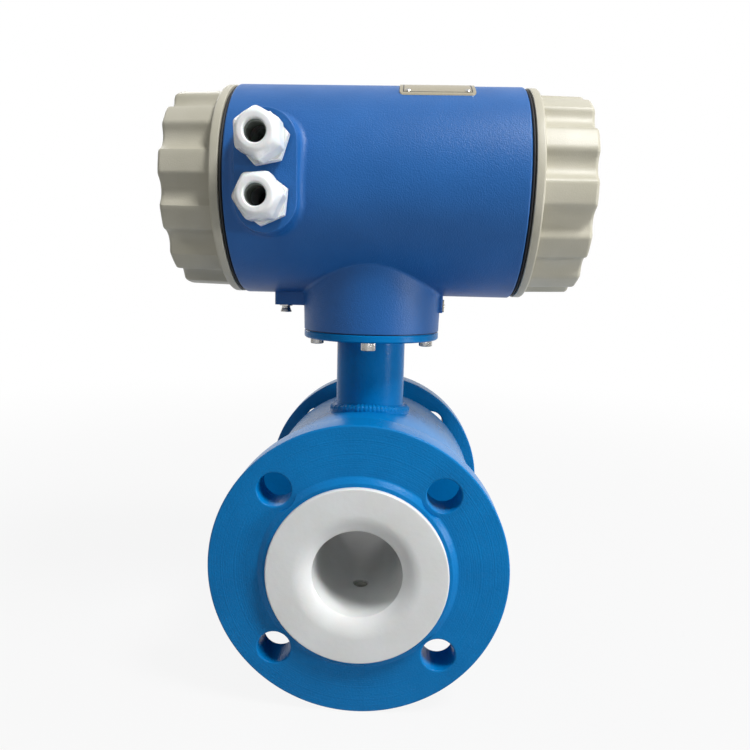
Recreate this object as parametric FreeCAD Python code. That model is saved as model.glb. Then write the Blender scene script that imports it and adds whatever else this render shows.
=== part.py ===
"""Electromagnetic flow meter, size 50, with its signal converter mounted on a neck.

Lengths are in millimetres. The origin is the centre of the flow bore. Y runs along the pipe,
from the inlet flange (-Y) to the outlet flange (+Y), Z is up, and X runs along the converter
housing, from the terminal side (-X) to the display side (+X).
"""
import FreeCAD, Part
import math
import os
from FreeCAD import Vector

os.makedirs("parts", exist_ok=True)

X, Y, Z = Vector(1, 0, 0), Vector(0, 1, 0), Vector(0, 0, 1)

# ---- driving dimensions -------------------------------------------------------------------

# Flow tube, liner and process flanges
FACE_TO_FACE = 200.0        # over the two liner faces
BORE_R = 24.0
LINER_WALL = 3.0
LINER_FLARE_R = 48.2
LINER_EDGE_BREAK = 0.7
LINER_BACK_BREAK = 0.4
MOUTH_ROUND = 13.0          # trumpet radius of the liner at each face
TUBE_WALL = 3.15
FLANGE_R = 80.0
FLANGE_THICK = 19.0
FLANGE_RIM_ROUND = 0.8
RAISED_R = 50.0
RAISED_HEIGHT = 2.5
RAISED_FOOT = 3.0           # the raised face's side slopes out by this much
RAISED_FOOT_ROUND = 1.5
RAISED_EDGE_BREAK = 0.6
BOLT_CIRCLE = 125.0
BOLT_COUNT = 4
BOLT_HOLE_R = 9.0
BOLT_HOLE_ROUND = 0.9
TUBE_SEAT = 9.0             # how far the tube enters each flange
FLANGE_WELD = 4.0

# Electrodes: two measuring, one grounding
ELECTRODE_HEAD_R = 4.2
ELECTRODE_POCKET_R = 4.6
ELECTRODE_HEAD_THICK = 1.5
ELECTRODE_RECESS = 0.5
ELECTRODE_STEM_R = 2.5
ELECTRODE_LENGTH = 25.5
ELECTRODE_DOME = 0.5        # height of the head's dome
ELECTRODE_DOME_TOP_R = 1.5
BUSH_R = 5.0
BUSH_LIP = 1.5              # the bush's collar stands out and up by this much
BOSS_R = 8.0
BOSS_HEIGHT = 8.0
GROUND_BOSS_R = 6.5
GROUND_ELECTRODE_Y = -57.0
STEM_NUT_FLATS = 8.0
STEM_NUT_THICK = 4.0
CUP_SPRING_HEIGHT = 2.0
CUP_SPRING_R = 5.2
CUP_SPRING_TOP_R = 3.4

# Field coils inside the sensor shell
COIL_DEPTH = 12.5           # from the tube outwards
COIL_LENGTH = 66.0          # along the pipe
COIL_WIDTH = 58.0
COIL_WINDOW_LENGTH = 34.0
COIL_WINDOW_WIDTH = 26.0
COIL_CORNER = 12.0
WINDOW_CORNER = 4.0
CORE_PLAY = 0.5             # all round, in the coil's window
YOKE_R = 54.0
YOKE_THICK = 2.5
YOKE_LENGTH = 50.0

# Sensor shell, neck and its flange plate
SHELL_R = 72.5
SHELL_WALL = 3.0
SHELL_LENGTH = 99.0
SHELL_END_THICK = 4.0
NECK_R = 21.7
NECK_WALL = 3.5
NECK_WELD = 4.0
WELD_TOE = 1.8              # height of the weld's outer step above the shell
WELD_CROWN = 2.0            # width of its inner step
PLATE_R = 42.8
PLATE_THICK = 4.5
PLATE_TOP_Z = 121.0
PLATE_LOWER_BREAK = 0.8
PLATE_UPPER_BREAK = 0.5
GASKET_THICK = 0.8
GASKET_RECESS = 0.7
NECK_SCREW_CIRCLE_R = 35.0
NECK_SCREW_COUNT = 4
NECK_SCREW_R = 2.5
NECK_SCREW_LENGTH = 15.0
NECK_SCREW_HEAD_R = 4.25
NECK_SCREW_HEAD_HEIGHT = 5.0
NECK_SCREW_KEY = 4.0        # across the flats of its socket
NECK_SCREW_PLAY = 0.25      # in the plate's and gasket's holes
NECK_SCREW_HOLE_DEPTH = 12.0
POTTING_THICK = 12.0

# Converter housing
HOUSING_Z = 205.8
HOUSING_R = 62.0
HOUSING_LEFT = -79.2
HOUSING_RIGHT = 85.4
HOUSING_EDGE_ROUND = 1.0
CHAMBER_R = 55.5
THREAD_R = 57.0
THREAD_DEPTH = 16.0
PARTITION_X = -34.0         # terminal side of the wall between the chambers
PARTITION_THICK = 4.0
SADDLE_R = 42.8
SADDLE_DRAFT = 1.5          # degrees
SADDLE_ROUND = 2.0
SADDLE_BORE_R = 26.0
SADDLE_BORE_RISE = 20.0     # how far the hollow neck runs on into the barrel
GASKET_BORE_PLAY = 1.0
CABLE_HOLE_R = 6.0
CABLE_HOLE_OFFSET = 44.4    # from the barrel's axis

# Cable entries on the front of the terminal chamber
PAD_X = -54.5
PAD_STAND = 5.0             # how far the pad stands out from the barrel
PAD_R = 17.0
PAD_DRAFT = 5.0             # degrees
PAD_ROUND = 4.0
PAD_EDGE_ROUND = 0.8
PAD_ROOT = 20.0             # how far the pad runs into the barrel
GLAND_HOLE_DEPTH = 30.0
GLAND_PITCH = 30.0
GLAND_MIDDLE_Z = 208.5
GLAND_THREAD_R = 10.0

# Ground lug and tag pad under the housing
LUG_END_X = -61.0
LUG_DROP = 7.6              # below the barrel
LUG_WIDTH = 18.0
LUG_CORNER = 2.0
LUG_ROOT = 6.0              # how far the lug and the tag pad run into the barrel
LUG_OVERLAP = 8.0           # and into the saddle
LUG_SCREW_X = -55.3
GROUND_SCREW_R = 2.0
GROUND_SCREW_LENGTH = 8.0
GROUND_HOLE_DEPTH = 10.0
GROUND_WASHER_R = 4.2
GROUND_WASHER_THICK = 0.8
TAG_PAD_X = 44.6
TAG_PAD_WIDTH = 18.0
TAG_PAD_CORNER = 1.0
TAG_RISE = 3.2              # above the barrel's lowest line
TAG_DROP = 10.3             # below it
TAG_THICK = 0.8
TAG_MARGIN = 0.5            # between the tag's sides and the pad's
TAG_TOP_MARGIN = 5.5
TAG_FOOT_MARGIN = 0.5
TAG_PIN_OFFSET = 6.0
TAG_PIN_R = 1.2
TAG_PIN_STAND = 0.7

# Screwed end covers
SEAL_GAP = 2.5              # between the housing's end and the cover's ring
SEAL_PLAY = 0.3
RING_R = 61.5
RING_THICK = 5.0
GRIP_R = 55.6
GRIP_LENGTH = 29.5
GRIP_DRAFT = 3.0            # degrees
GRIP_LOBES = 12
GROOVE_DEPTH = 2.3
GROOVE_R = 13.0
GRIP_END_ROUND = 2.5
SPIGOT_LENGTH = 13.5
THREAD_PLAY = 0.08
COVER_BORE_R = 50.5
COVER_END_WALL = 4.0
COVER_FLOOR_ROUND = 4.0
COVER_BORE_TAPER = 3.0      # the blind cover's bore narrows by this much
TAB_HEIGHT = 3.0            # two tabs on the blind cover take a bar
TAB_LENGTH = 9.0
TAB_WIDTH = 5.0
TAB_OFFSET = 44.0           # from the cover's axis
TAB_TURN = 20.0             # degrees
LEFT_GRIP_PHASE = -3.5      # degrees, groove above the front
RIGHT_GRIP_PHASE = 13.0

# Display window
WINDOW_OPENING_R = 37.0
WINDOW_SEAT_R = 42.0
WINDOW_GLASS_THICK = 6.0
WINDOW_GASKET_THICK = 1.2
WINDOW_RING_THICK = 4.0
WINDOW_RING_LEAD = 1.5      # thread left free below the ring
WINDOW_RING_SLOT_R = 1.5
WINDOW_PLAY = 0.2
WINDOW_LIP_BEVEL = 1.5

# Cable glands
GLAND_WASHER_THICK = 1.5
GLAND_HEX_FLATS = 24.0
GLAND_HEX_THICK = 5.5
GLAND_NECK_R = 9.2
GLAND_BORE_R = 6.5
GLAND_INNER_LENGTH = 14.0
GLAND_CLAW_START = 16.0     # distances from the pad's face
GLAND_CLAW_END = 20.0
GLAND_CLAW_R = 8.4
GLAND_CLAW_TIP_R = 7.5
GLAND_SLOT_WIDTH = 1.2
NUT_FLATS = 23.0
NUT_START = 7.5
NUT_THREAD_END = 17.0
NUT_HEX_END = 18.0
NUT_CONE_END = 21.5
NUT_SHOULDER = 21.8
NUT_END = 25.0
NUT_END_R = 8.6
NUT_OPENING_R = 5.7
NUT_MOUTH_BEVEL = 1.2
SEAL_START = 9.0
SEAL_END = 20.4
SEAL_BORE_R = 5.2
SEAL_SQUEEZE = 0.1          # the rubber's play in the body's bore
UPPER_NUT_TURN = 4.0        # degrees
LOWER_NUT_TURN = 33.0
UPPER_BODY_TURN = 12.0
LOWER_BODY_TURN = 24.0

# Electronics
BOARD_THICK = 1.6
COLUMN_OFFSET = 32.0        # the standoff columns stand on a square
STANDOFF_FLATS = 5.5
TERMINAL_BOARD_X = -43.0
TERMINAL_WAYS = 8           # in each of two rows
TERMINAL_PITCH = 7.5
TERMINAL_DEPTH = 12.0
TERMINAL_WIDTH = 13.0
TERMINAL_ROW_OFFSET = 14.0
TERMINAL_HOLE_R = 2.6
TERMINAL_HOLE_DEPTH = 6.0
TERMINAL_SCREW_R = 2.5
WIRE_ENTRY_HEIGHT = 4.2
WIRE_ENTRY_WIDTH = 4.6
WIRE_ENTRY_OFFSET = 8.5     # behind the block's face
POWER_BOARD_X = 4.0
POWER_BOARD_FLAT = 44.0     # the flat under its edge, below the barrel's axis
TRANSFORMER_Y = -8.0
TRANSFORMER_RISE = 8.0      # above the barrel's axis
CAPACITOR_R = 7.0
CAPACITOR_LENGTH = 22.0
CAPACITOR_Y = 24.0
CAPACITOR_PITCH = 18.0
MAIN_BOARD_X = 36.0
DISPLAY_BOARD_X = 82.0
DISPLAY_PLATE_X = 94.0
DISPLAY_PLATE_THICK = 2.5
CHAMBER_BOARD_R = 53.0
DISPLAY_R = 48.5
DISPLAY_EDGE_ROUND = 0.8
SCREEN_RISE = 8.0           # above the barrel's axis
SCREEN_WIDTH = 62.0
SCREEN_HEIGHT = 35.0
SCREEN_WINDOW_WIDTH = 54.0
SCREEN_WINDOW_HEIGHT = 27.0
KEY_R = 3.3
KEY_PITCH = 13.0
KEY_COUNT = 4
KEY_STAND = 1.8             # how far a key stands proud of the plate
KEY_TRAVEL = 0.8
KEY_PLAY = 0.3
KEY_DROP = 22.0             # the row's distance under the barrel's axis
KEY_COLLAR = 1.2            # how far the collar stands out round a key
KEY_COLLAR_BACK = 3.0
KEY_STEM_R = 1.5
KEY_STEM_GAP = 5.0          # from the board to the stem's end
SWITCH_WIDTH = 6.0

# Nameplate
PLATE_LEFT = 14.4
PLATE_RIGHT = 56.9
NAMEPLATE_DEPTH = 76.0
NAMEPLATE_THICK = 0.6
NAMEPLATE_CORNER = 2.5
RIVET_INSET = 4.6
RIVET_R = 1.7
RIVET_DOME_R = 2.4
RIVET_STAND = 0.85          # above the plate

# Rounds smaller than this are made as bevels
SMALLEST_ARC = 1.0

# ---- worked out from the above ------------------------------------------------------------

LINER_FACE = FACE_TO_FACE / 2
RAISED_FACE = LINER_FACE - LINER_WALL
FLANGE_FACE = RAISED_FACE - RAISED_HEIGHT
FLANGE_BACK = FLANGE_FACE - FLANGE_THICK
TUBE_IN = BORE_R + LINER_WALL
TUBE_OUT = TUBE_IN + TUBE_WALL
TUBE_END = FLANGE_BACK + TUBE_SEAT
BOSS_TOP = TUBE_OUT + BOSS_HEIGHT
COIL_R = TUBE_OUT + COIL_DEPTH
PLATE_BOTTOM_Z = PLATE_TOP_Z - PLATE_THICK
SADDLE_BOTTOM_Z = PLATE_TOP_Z + GASKET_THICK
NECK_IN = NECK_R - NECK_WALL
HOUSING_AXIS = Vector(0, 0, HOUSING_Z)
BARREL_BOTTOM_Z = HOUSING_Z - HOUSING_R
PAD_FACE_Y = -(HOUSING_R + PAD_STAND)
LUG_BOTTOM_Z = BARREL_BOTTOM_Z - LUG_DROP
TAG_TOP_Z = BARREL_BOTTOM_Z + TAG_RISE
TAG_BOTTOM_Z = max(BARREL_BOTTOM_Z - TAG_DROP, SADDLE_BOTTOM_Z + 1)
SPIGOT_R = THREAD_R - THREAD_PLAY
RING_END = SEAL_GAP + RING_THICK
COVER_END = RING_END + GRIP_LENGTH
PARTITION_BACK_X = PARTITION_X + PARTITION_THICK


# ---- building blocks ----------------------------------------------------------------------

def rod(axis, radius, start, end, at=Vector()):
    """A cylinder about an axis through a point, from start to end along it."""
    return Part.makeCylinder(radius, end - start, at + axis * start, axis)


def tube(axis, outer, inner, start, end, at=Vector()):
    return rod(axis, outer, start, end, at).cut(rod(axis, inner, start, end, at))


def wire(points, place):
    """A closed outline. A point is (u, v), or (u, v, radius) where its corner is rounded or bevelled."""
    corners = []
    for index, point in enumerate(points):
        corner = Vector(point[0], point[1], 0)
        if len(point) < 3:
            corners.append((corner, None, corner))
            continue
        before = Vector(*points[index - 1][:2], 0) - corner
        after = Vector(*points[(index + 1) % len(points)][:2], 0) - corner
        before.normalize()
        after.normalize()
        half_angle = before.getAngle(after) / 2
        inward = (before + after).normalize()
        reach = point[2] / math.tan(half_angle)
        crown = corner + inward * (point[2] / math.sin(half_angle) - point[2])
        if point[2] < SMALLEST_ARC:
            crown = None
        corners.append((corner + before * reach, crown, corner + after * reach))
    edges = []
    for index, (start, crown, end) in enumerate(corners):
        if crown:
            edges.append(Part.Arc(place(start), place(crown), place(end)).toShape())
        elif start.distanceToPoint(end) > 1e-7:
            edges.append(Part.makeLine(place(start), place(end)))
        following = corners[(index + 1) % len(corners)][0]
        if end.distanceToPoint(following) > 1e-7:
            edges.append(Part.makeLine(place(end), place(following)))
    return Part.Wire(edges)


def upright(solid):
    """The same solid with its faces pointing outwards."""
    if solid.Volume < 0:
        solid.reverse()
    return solid


def turned(axis, points, at=Vector()):
    """A solid of revolution. Its points are (along the axis, radius[, corner radius])."""
    side = Z if abs(axis.z) < 0.5 else X
    face = Part.Face(wire(points, lambda p: at + axis * p.x + side * p.y))
    return upright(face.revolve(at, axis, 360))


def prism(points, start, end, axis=Z, at=Vector()):
    """An outline pushed along an axis. For Z it lies in X and Y, for Y in X and Z, for X in Y and Z."""
    across = {"x": (Y, Z), "y": (X, Z), "z": (X, Y)}
    name = "x" if abs(axis.x) > 0.5 else "y" if abs(axis.y) > 0.5 else "z"
    first, second = across[name]
    face = Part.Face(wire(points, lambda p: at + axis * start + first * p.x + second * p.y))
    return upright(face.extrude(axis * (end - start)))


def rectangle(width, depth, corner=None, middle=(0, 0)):
    """The four corners of a rectangle, rounded where a corner radius is given."""
    rounding = (corner,) if corner else ()
    signs = ((-1, -1), (1, -1), (1, 1), (-1, 1))
    return [(middle[0] + a * width / 2, middle[1] + b * depth / 2) + rounding for a, b in signs]


def hexagon(axis, flats, start, end, at=Vector(), turn=0.0, bevel=0.0):
    """A hexagonal bar. A bevel rounds its corners off at both ends, as on a nut."""
    radius = flats / math.sqrt(3)
    angles = [math.radians(60 * k + turn) for k in range(6)]
    bar = prism([(radius * math.cos(a), radius * math.sin(a)) for a in angles], start, end, axis, at)
    if bevel:
        drop = bevel * 0.6
        bar = bar.common(turned(axis, [(start, 0), (start, radius - bevel), (start + drop, radius + 0.01),
                                       (end - drop, radius + 0.01), (end, radius - bevel), (end, 0)], at))
    return bar


def around(axis, at, count, first_angle, radius):
    """Points on a circle about an axis, by angle."""
    start = {True: X, False: Z}[abs(axis.z) > 0.5]
    other = axis.cross(start)
    for index in range(count):
        angle = math.radians(first_angle + 360.0 * index / count)
        yield at + start * (radius * math.cos(angle)) + other * (radius * math.sin(angle))


def spun(solid, at, axis, degrees):
    copy = solid.copy()
    copy.rotate(at, axis, degrees)
    return copy


def joined(solids):
    """One solid fused from several that touch."""
    return solids[0].fuse(list(solids[1:])).removeSplitter()


def export(name, *solids):
    shape = solids[0] if len(solids) == 1 else Part.makeCompound(list(solids))
    if len(shape.Solids) == 1:
        shape = shape.Solids[0]
    shape.exportStep("parts/%s.step" % name)


# ---- flow tube, liner and flanges ---------------------------------------------------------

def flange():
    """The outlet flange: a flat welding flange with a raised face and a rounded bore mouth."""
    metal_round = MOUTH_ROUND - LINER_WALL
    body = turned(Y, [
        (FLANGE_BACK, TUBE_OUT + FLANGE_WELD),
        (FLANGE_BACK, FLANGE_R, FLANGE_RIM_ROUND),
        (FLANGE_FACE, FLANGE_R, FLANGE_RIM_ROUND),
        (FLANGE_FACE, RAISED_R + RAISED_FOOT, RAISED_FOOT_ROUND),
        (RAISED_FACE, RAISED_R, RAISED_EDGE_BREAK),
        (RAISED_FACE, TUBE_IN, metal_round),
        (TUBE_END, TUBE_IN),
        (TUBE_END, TUBE_OUT),
        (FLANGE_BACK - FLANGE_WELD, TUBE_OUT)])
    step = 180.0 / BOLT_COUNT
    for spot in around(Y, Vector(), BOLT_COUNT, step, BOLT_CIRCLE / 2):
        body = body.cut(turned(Y, [
            (FLANGE_BACK - 1, 0), (FLANGE_BACK - 1, BOLT_HOLE_R + BOLT_HOLE_ROUND + 1),
            (FLANGE_BACK + BOLT_HOLE_ROUND, BOLT_HOLE_R), (FLANGE_FACE - BOLT_HOLE_ROUND, BOLT_HOLE_R),
            (FLANGE_FACE + 1, BOLT_HOLE_R + BOLT_HOLE_ROUND + 1), (FLANGE_FACE + 1, 0)], spot))
    return body


def electrode_places():
    """Name, point on the bore's axis and outward direction of each electrode."""
    return (("electrode_left", Vector(), -X), ("electrode_right", Vector(), X),
            ("ground_electrode", Vector(0, GROUND_ELECTRODE_Y, 0), -Z))


def measuring_tube():
    """The steel tube with a welded boss for each electrode."""
    solid = tube(Y, TUBE_OUT, TUBE_IN, -TUBE_END, TUBE_END)
    for name, at, out in electrode_places():
        boss_r = GROUND_BOSS_R if name == "ground_electrode" else BOSS_R
        solid = solid.fuse(rod(out, boss_r, TUBE_IN + 1, BOSS_TOP, at))
    solid = solid.cut(rod(Y, TUBE_IN, -TUBE_END, TUBE_END))
    for name, at, out in electrode_places():
        hole_r = ELECTRODE_STEM_R if name == "ground_electrode" else BUSH_R
        solid = solid.cut(rod(out, hole_r, 0, BOSS_TOP + 1, at))
    return solid.removeSplitter()


def liner():
    """The fluoroplastic liner, flared over both raised faces."""
    metal_round = MOUTH_ROUND - LINER_WALL
    solid = turned(Y, [
        (-LINER_FACE, BORE_R, MOUTH_ROUND), (LINER_FACE, BORE_R, MOUTH_ROUND),
        (LINER_FACE, LINER_FLARE_R, LINER_EDGE_BREAK), (RAISED_FACE, LINER_FLARE_R, LINER_BACK_BREAK),
        (RAISED_FACE, TUBE_IN, metal_round), (-RAISED_FACE, TUBE_IN, metal_round),
        (-RAISED_FACE, LINER_FLARE_R, LINER_BACK_BREAK), (-LINER_FACE, LINER_FLARE_R, LINER_EDGE_BREAK)])
    pocket_floor = BORE_R + ELECTRODE_RECESS + ELECTRODE_HEAD_THICK
    for _, at, out in electrode_places():
        solid = solid.cut(rod(out, ELECTRODE_POCKET_R, 0, pocket_floor, at))
        solid = solid.cut(rod(out, ELECTRODE_STEM_R, 0, TUBE_OUT, at))
    return solid


def electrode(at, out):
    """A pin with a low domed head that seats in the liner's pocket."""
    head_top = BORE_R + ELECTRODE_RECESS
    seat = head_top + ELECTRODE_HEAD_THICK
    return turned(out, [
        (head_top, 0), (head_top, ELECTRODE_DOME_TOP_R),
        (head_top + ELECTRODE_DOME, ELECTRODE_HEAD_R, 0.3), (seat, ELECTRODE_HEAD_R),
        (seat, ELECTRODE_STEM_R), (head_top + ELECTRODE_LENGTH, ELECTRODE_STEM_R, 0.5),
        (head_top + ELECTRODE_LENGTH, 0)], at)


def electrode_fittings():
    """Insulating bushes, cup springs and nuts that hold the electrodes from outside."""
    bushes, springs, nuts = [], [], []
    for name, at, out in electrode_places():
        foot = BOSS_TOP
        if name != "ground_electrode":
            bush = turned(out, [(0, ELECTRODE_STEM_R), (0, BUSH_R), (BOSS_TOP, BUSH_R),
                                (BOSS_TOP, BUSH_R + BUSH_LIP), (BOSS_TOP + BUSH_LIP, BUSH_R + BUSH_LIP),
                                (BOSS_TOP + BUSH_LIP, ELECTRODE_STEM_R)], at)
            bushes.append(bush.cut(rod(Y, TUBE_IN, -BOSS_R * 2, BOSS_R * 2)))
            foot = BOSS_TOP + BUSH_LIP
        springs.append(turned(out, [(foot, CUP_SPRING_R - 0.7),
                                    (foot + CUP_SPRING_HEIGHT * 0.3, CUP_SPRING_R),
                                    (foot + CUP_SPRING_HEIGHT, CUP_SPRING_TOP_R),
                                    (foot + CUP_SPRING_HEIGHT, ELECTRODE_STEM_R),
                                    (foot + CUP_SPRING_HEIGHT * 0.6, ELECTRODE_STEM_R)], at))
        foot += CUP_SPRING_HEIGHT
        nut = hexagon(out, STEM_NUT_FLATS, foot, foot + STEM_NUT_THICK, at, bevel=0.6)
        nuts.append(nut.cut(rod(out, ELECTRODE_STEM_R, foot, foot + STEM_NUT_THICK, at)))
    return bushes, springs, nuts


# ---- field coils --------------------------------------------------------------------------

def coil_parts(up):
    """One saddle coil bent over the tube, with the core that fills its window."""
    wrap = tube(Y, COIL_R, TUBE_OUT, -COIL_LENGTH / 2, COIL_LENGTH / 2)
    outer = prism(rectangle(COIL_WIDTH, COIL_LENGTH, COIL_CORNER), 0, YOKE_R, up)
    window = prism(rectangle(COIL_WINDOW_WIDTH, COIL_WINDOW_LENGTH, WINDOW_CORNER), 0, YOKE_R, up)
    core_slab = prism(rectangle(COIL_WINDOW_WIDTH - 2 * CORE_PLAY, COIL_WINDOW_LENGTH - 2 * CORE_PLAY,
                                WINDOW_CORNER - CORE_PLAY), 0, YOKE_R, up)
    core_wrap = tube(Y, YOKE_R - YOKE_THICK, TUBE_OUT, -COIL_LENGTH / 2, COIL_LENGTH / 2)
    return wrap.common(outer).cut(window), core_wrap.common(core_slab)


# ---- sensor shell and neck ----------------------------------------------------------------

def sensor_shell():
    half = SHELL_LENGTH / 2
    shell = tube(Y, SHELL_R, SHELL_R - SHELL_WALL, -half, half)
    return shell.cut(rod(Z, NECK_IN, 0, SHELL_R + 5))


def shell_end(side):
    """The disc that closes the shell round the tube. side is -1 at the inlet, 1 at the outlet."""
    outside = side * SHELL_LENGTH / 2
    inside = outside - side * SHELL_END_THICK
    return tube(Y, SHELL_R - SHELL_WALL, TUBE_OUT, min(inside, outside), max(inside, outside))


def neck_tube():
    """The neck with its weld run round the shell in two steps, a wide low one and a narrow high one."""
    half = SHELL_LENGTH / 2
    steps = ((NECK_WELD, WELD_TOE), (WELD_CROWN, NECK_WELD))
    welds = [tube(Z, NECK_R + width, NECK_IN, 0, SHELL_R + NECK_WELD)
             .common(rod(Y, SHELL_R + height, -half, half)) for width, height in steps]
    solid = joined([tube(Z, NECK_R, NECK_IN, 0, PLATE_BOTTOM_Z)] + welds)
    return solid.cut(rod(Y, SHELL_R, -half, half))


def neck_plate():
    """The flange plate on top of the neck."""
    solid = turned(Z, [(PLATE_BOTTOM_Z, NECK_IN), (PLATE_BOTTOM_Z, PLATE_R, PLATE_LOWER_BREAK),
                       (PLATE_TOP_Z, PLATE_R, PLATE_UPPER_BREAK), (PLATE_TOP_Z, NECK_IN)])
    for spot in neck_screw_places():
        solid = solid.cut(rod(Z, NECK_SCREW_R + NECK_SCREW_PLAY, PLATE_BOTTOM_Z - 1, PLATE_TOP_Z + 1, spot))
    return solid


def neck_screw_places():
    return list(around(Z, Vector(), NECK_SCREW_COUNT, 90, NECK_SCREW_CIRCLE_R))


def neck_gasket():
    solid = tube(Z, PLATE_R - GASKET_RECESS, SADDLE_BORE_R + GASKET_BORE_PLAY, PLATE_TOP_Z, SADDLE_BOTTOM_Z)
    for spot in neck_screw_places():
        solid = solid.cut(rod(Z, NECK_SCREW_R + NECK_SCREW_PLAY, PLATE_TOP_Z - 1, SADDLE_BOTTOM_Z + 1, spot))
    return solid


def neck_screw(at):
    """A socket cap screw whose head seats under the plate, with its shank upwards."""
    head_end = -NECK_SCREW_HEAD_HEIGHT
    head = turned(Z, [(head_end, 0), (head_end, NECK_SCREW_HEAD_R, 0.5), (0, NECK_SCREW_HEAD_R, 0.2),
                      (0, 0)], at)
    shank = turned(Z, [(0, 0), (0, NECK_SCREW_R), (NECK_SCREW_LENGTH, NECK_SCREW_R, 0.5),
                       (NECK_SCREW_LENGTH, 0)], at)
    socket = hexagon(Z, NECK_SCREW_KEY, head_end - 1, head_end / 2, at)
    return joined([head, shank]).cut(socket)


# ---- converter housing --------------------------------------------------------------------

def stadium(grow=0.0):
    """The outline of the gland pad in X and Z, as a wire maker at a given depth."""
    half, radius = GLAND_PITCH / 2, PAD_R + grow
    low, high = GLAND_MIDDLE_Z - half, GLAND_MIDDLE_Z + half

    def at(depth):
        def spot(dx, z):
            return Vector(PAD_X + dx, depth, z)
        return Part.Wire([
            Part.Arc(spot(-radius, high), spot(0, high + radius), spot(radius, high)).toShape(),
            Part.makeLine(spot(radius, high), spot(radius, low)),
            Part.Arc(spot(radius, low), spot(0, low - radius), spot(-radius, low)).toShape(),
            Part.makeLine(spot(-radius, low), spot(-radius, high))])
    return at


def round_off(solid, radius, wanted):
    """Fillet the edges for which wanted(edge) is true."""
    edges = [edge for edge in solid.Edges if wanted(edge)]
    return solid.makeFillet(radius, edges) if edges else solid


def gland_places():
    half = GLAND_PITCH / 2
    return (("upper", Vector(PAD_X, PAD_FACE_Y, GLAND_MIDDLE_Z + half)),
            ("lower", Vector(PAD_X, PAD_FACE_Y, GLAND_MIDDLE_Z - half)))


def housing_outside():
    """The casting's outer form: barrel, saddle neck, gland pad, ground lug and tag pad."""
    barrel = turned(X, [(HOUSING_LEFT, 0), (HOUSING_LEFT, HOUSING_R, HOUSING_EDGE_ROUND),
                        (HOUSING_RIGHT, HOUSING_R, HOUSING_EDGE_ROUND), (HOUSING_RIGHT, 0)], HOUSING_AXIS)
    rise = HOUSING_Z - SADDLE_BOTTOM_Z
    top_r = SADDLE_R + rise * math.tan(math.radians(SADDLE_DRAFT))
    saddle = Part.makeCone(SADDLE_R, top_r, rise, Vector(0, 0, SADDLE_BOTTOM_Z), Z)
    solid = barrel.fuse(saddle)
    solid = round_off(solid, SADDLE_ROUND, lambda edge: edge.BoundBox.ZMin > SADDLE_BOTTOM_Z + 1
                      and edge.BoundBox.XLength > SADDLE_R and edge.BoundBox.YLength > SADDLE_R)

    depth = HOUSING_R - PAD_ROOT
    grow = (-PAD_FACE_Y - depth) * math.tan(math.radians(PAD_DRAFT))
    pad = Part.makeLoft([stadium(0)(PAD_FACE_Y), stadium(grow)(-depth)], True)
    pad = round_off(pad, PAD_EDGE_ROUND, lambda edge: edge.BoundBox.YMax < PAD_FACE_Y + 0.01)
    solid = solid.fuse(pad)
    solid = round_off(solid, PAD_ROUND, lambda edge: PAD_FACE_Y + 2 < edge.BoundBox.YMin
                      and edge.BoundBox.YMax < -depth - 1
                      and PAD_X - PAD_R * 2 < edge.BoundBox.XMin and edge.BoundBox.XMax < PAD_X + PAD_R * 2)

    lug_top = BARREL_BOTTOM_Z + LUG_ROOT
    root_x = SADDLE_R - LUG_OVERLAP
    lug = prism([(LUG_END_X, -LUG_WIDTH / 2, LUG_CORNER), (-root_x, -LUG_WIDTH / 2),
                 (-root_x, LUG_WIDTH / 2), (LUG_END_X, LUG_WIDTH / 2, LUG_CORNER)], LUG_BOTTOM_Z, lug_top)
    tag_pad = prism([(root_x, -TAG_PAD_WIDTH / 2), (TAG_PAD_X, -TAG_PAD_WIDTH / 2, TAG_PAD_CORNER),
                     (TAG_PAD_X, TAG_PAD_WIDTH / 2, TAG_PAD_CORNER), (root_x, TAG_PAD_WIDTH / 2)],
                    TAG_BOTTOM_Z, lug_top)
    return solid.fuse([lug, tag_pad]).removeSplitter()


def converter_housing():
    """The aluminium casting with its two chambers, hollow neck and drilled holes."""
    solid = housing_outside()
    hollows = [
        rod(X, CHAMBER_R, HOUSING_LEFT - 1, PARTITION_X, HOUSING_AXIS),
        rod(X, CHAMBER_R, PARTITION_BACK_X, HOUSING_RIGHT + 1, HOUSING_AXIS),
        rod(X, THREAD_R, HOUSING_LEFT - 1, HOUSING_LEFT + THREAD_DEPTH, HOUSING_AXIS),
        rod(X, THREAD_R, HOUSING_RIGHT - THREAD_DEPTH, HOUSING_RIGHT + 1, HOUSING_AXIS),
        rod(Z, SADDLE_BORE_R, SADDLE_BOTTOM_Z - 1, HOUSING_Z - CHAMBER_R + SADDLE_BORE_RISE),
        rod(Z, GROUND_SCREW_R, LUG_BOTTOM_Z - 1, LUG_BOTTOM_Z + GROUND_HOLE_DEPTH, Vector(LUG_SCREW_X, 0, 0))]
    for spot in neck_screw_places():
        hollows.append(rod(Z, NECK_SCREW_R, SADDLE_BOTTOM_Z - 1, SADDLE_BOTTOM_Z + NECK_SCREW_HOLE_DEPTH,
                           spot))
    for _, spot in gland_places():
        hollows.append(rod(Y, GLAND_THREAD_R, -1, GLAND_HOLE_DEPTH, spot))
    for side in (-1, 1):
        hollows.append(rod(X, CABLE_HOLE_R, PARTITION_X - 1, PARTITION_BACK_X + 1,
                           HOUSING_AXIS + Y * (side * CABLE_HOLE_OFFSET)))
    return solid.cut(hollows)


# ---- screwed covers -----------------------------------------------------------------------

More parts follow.
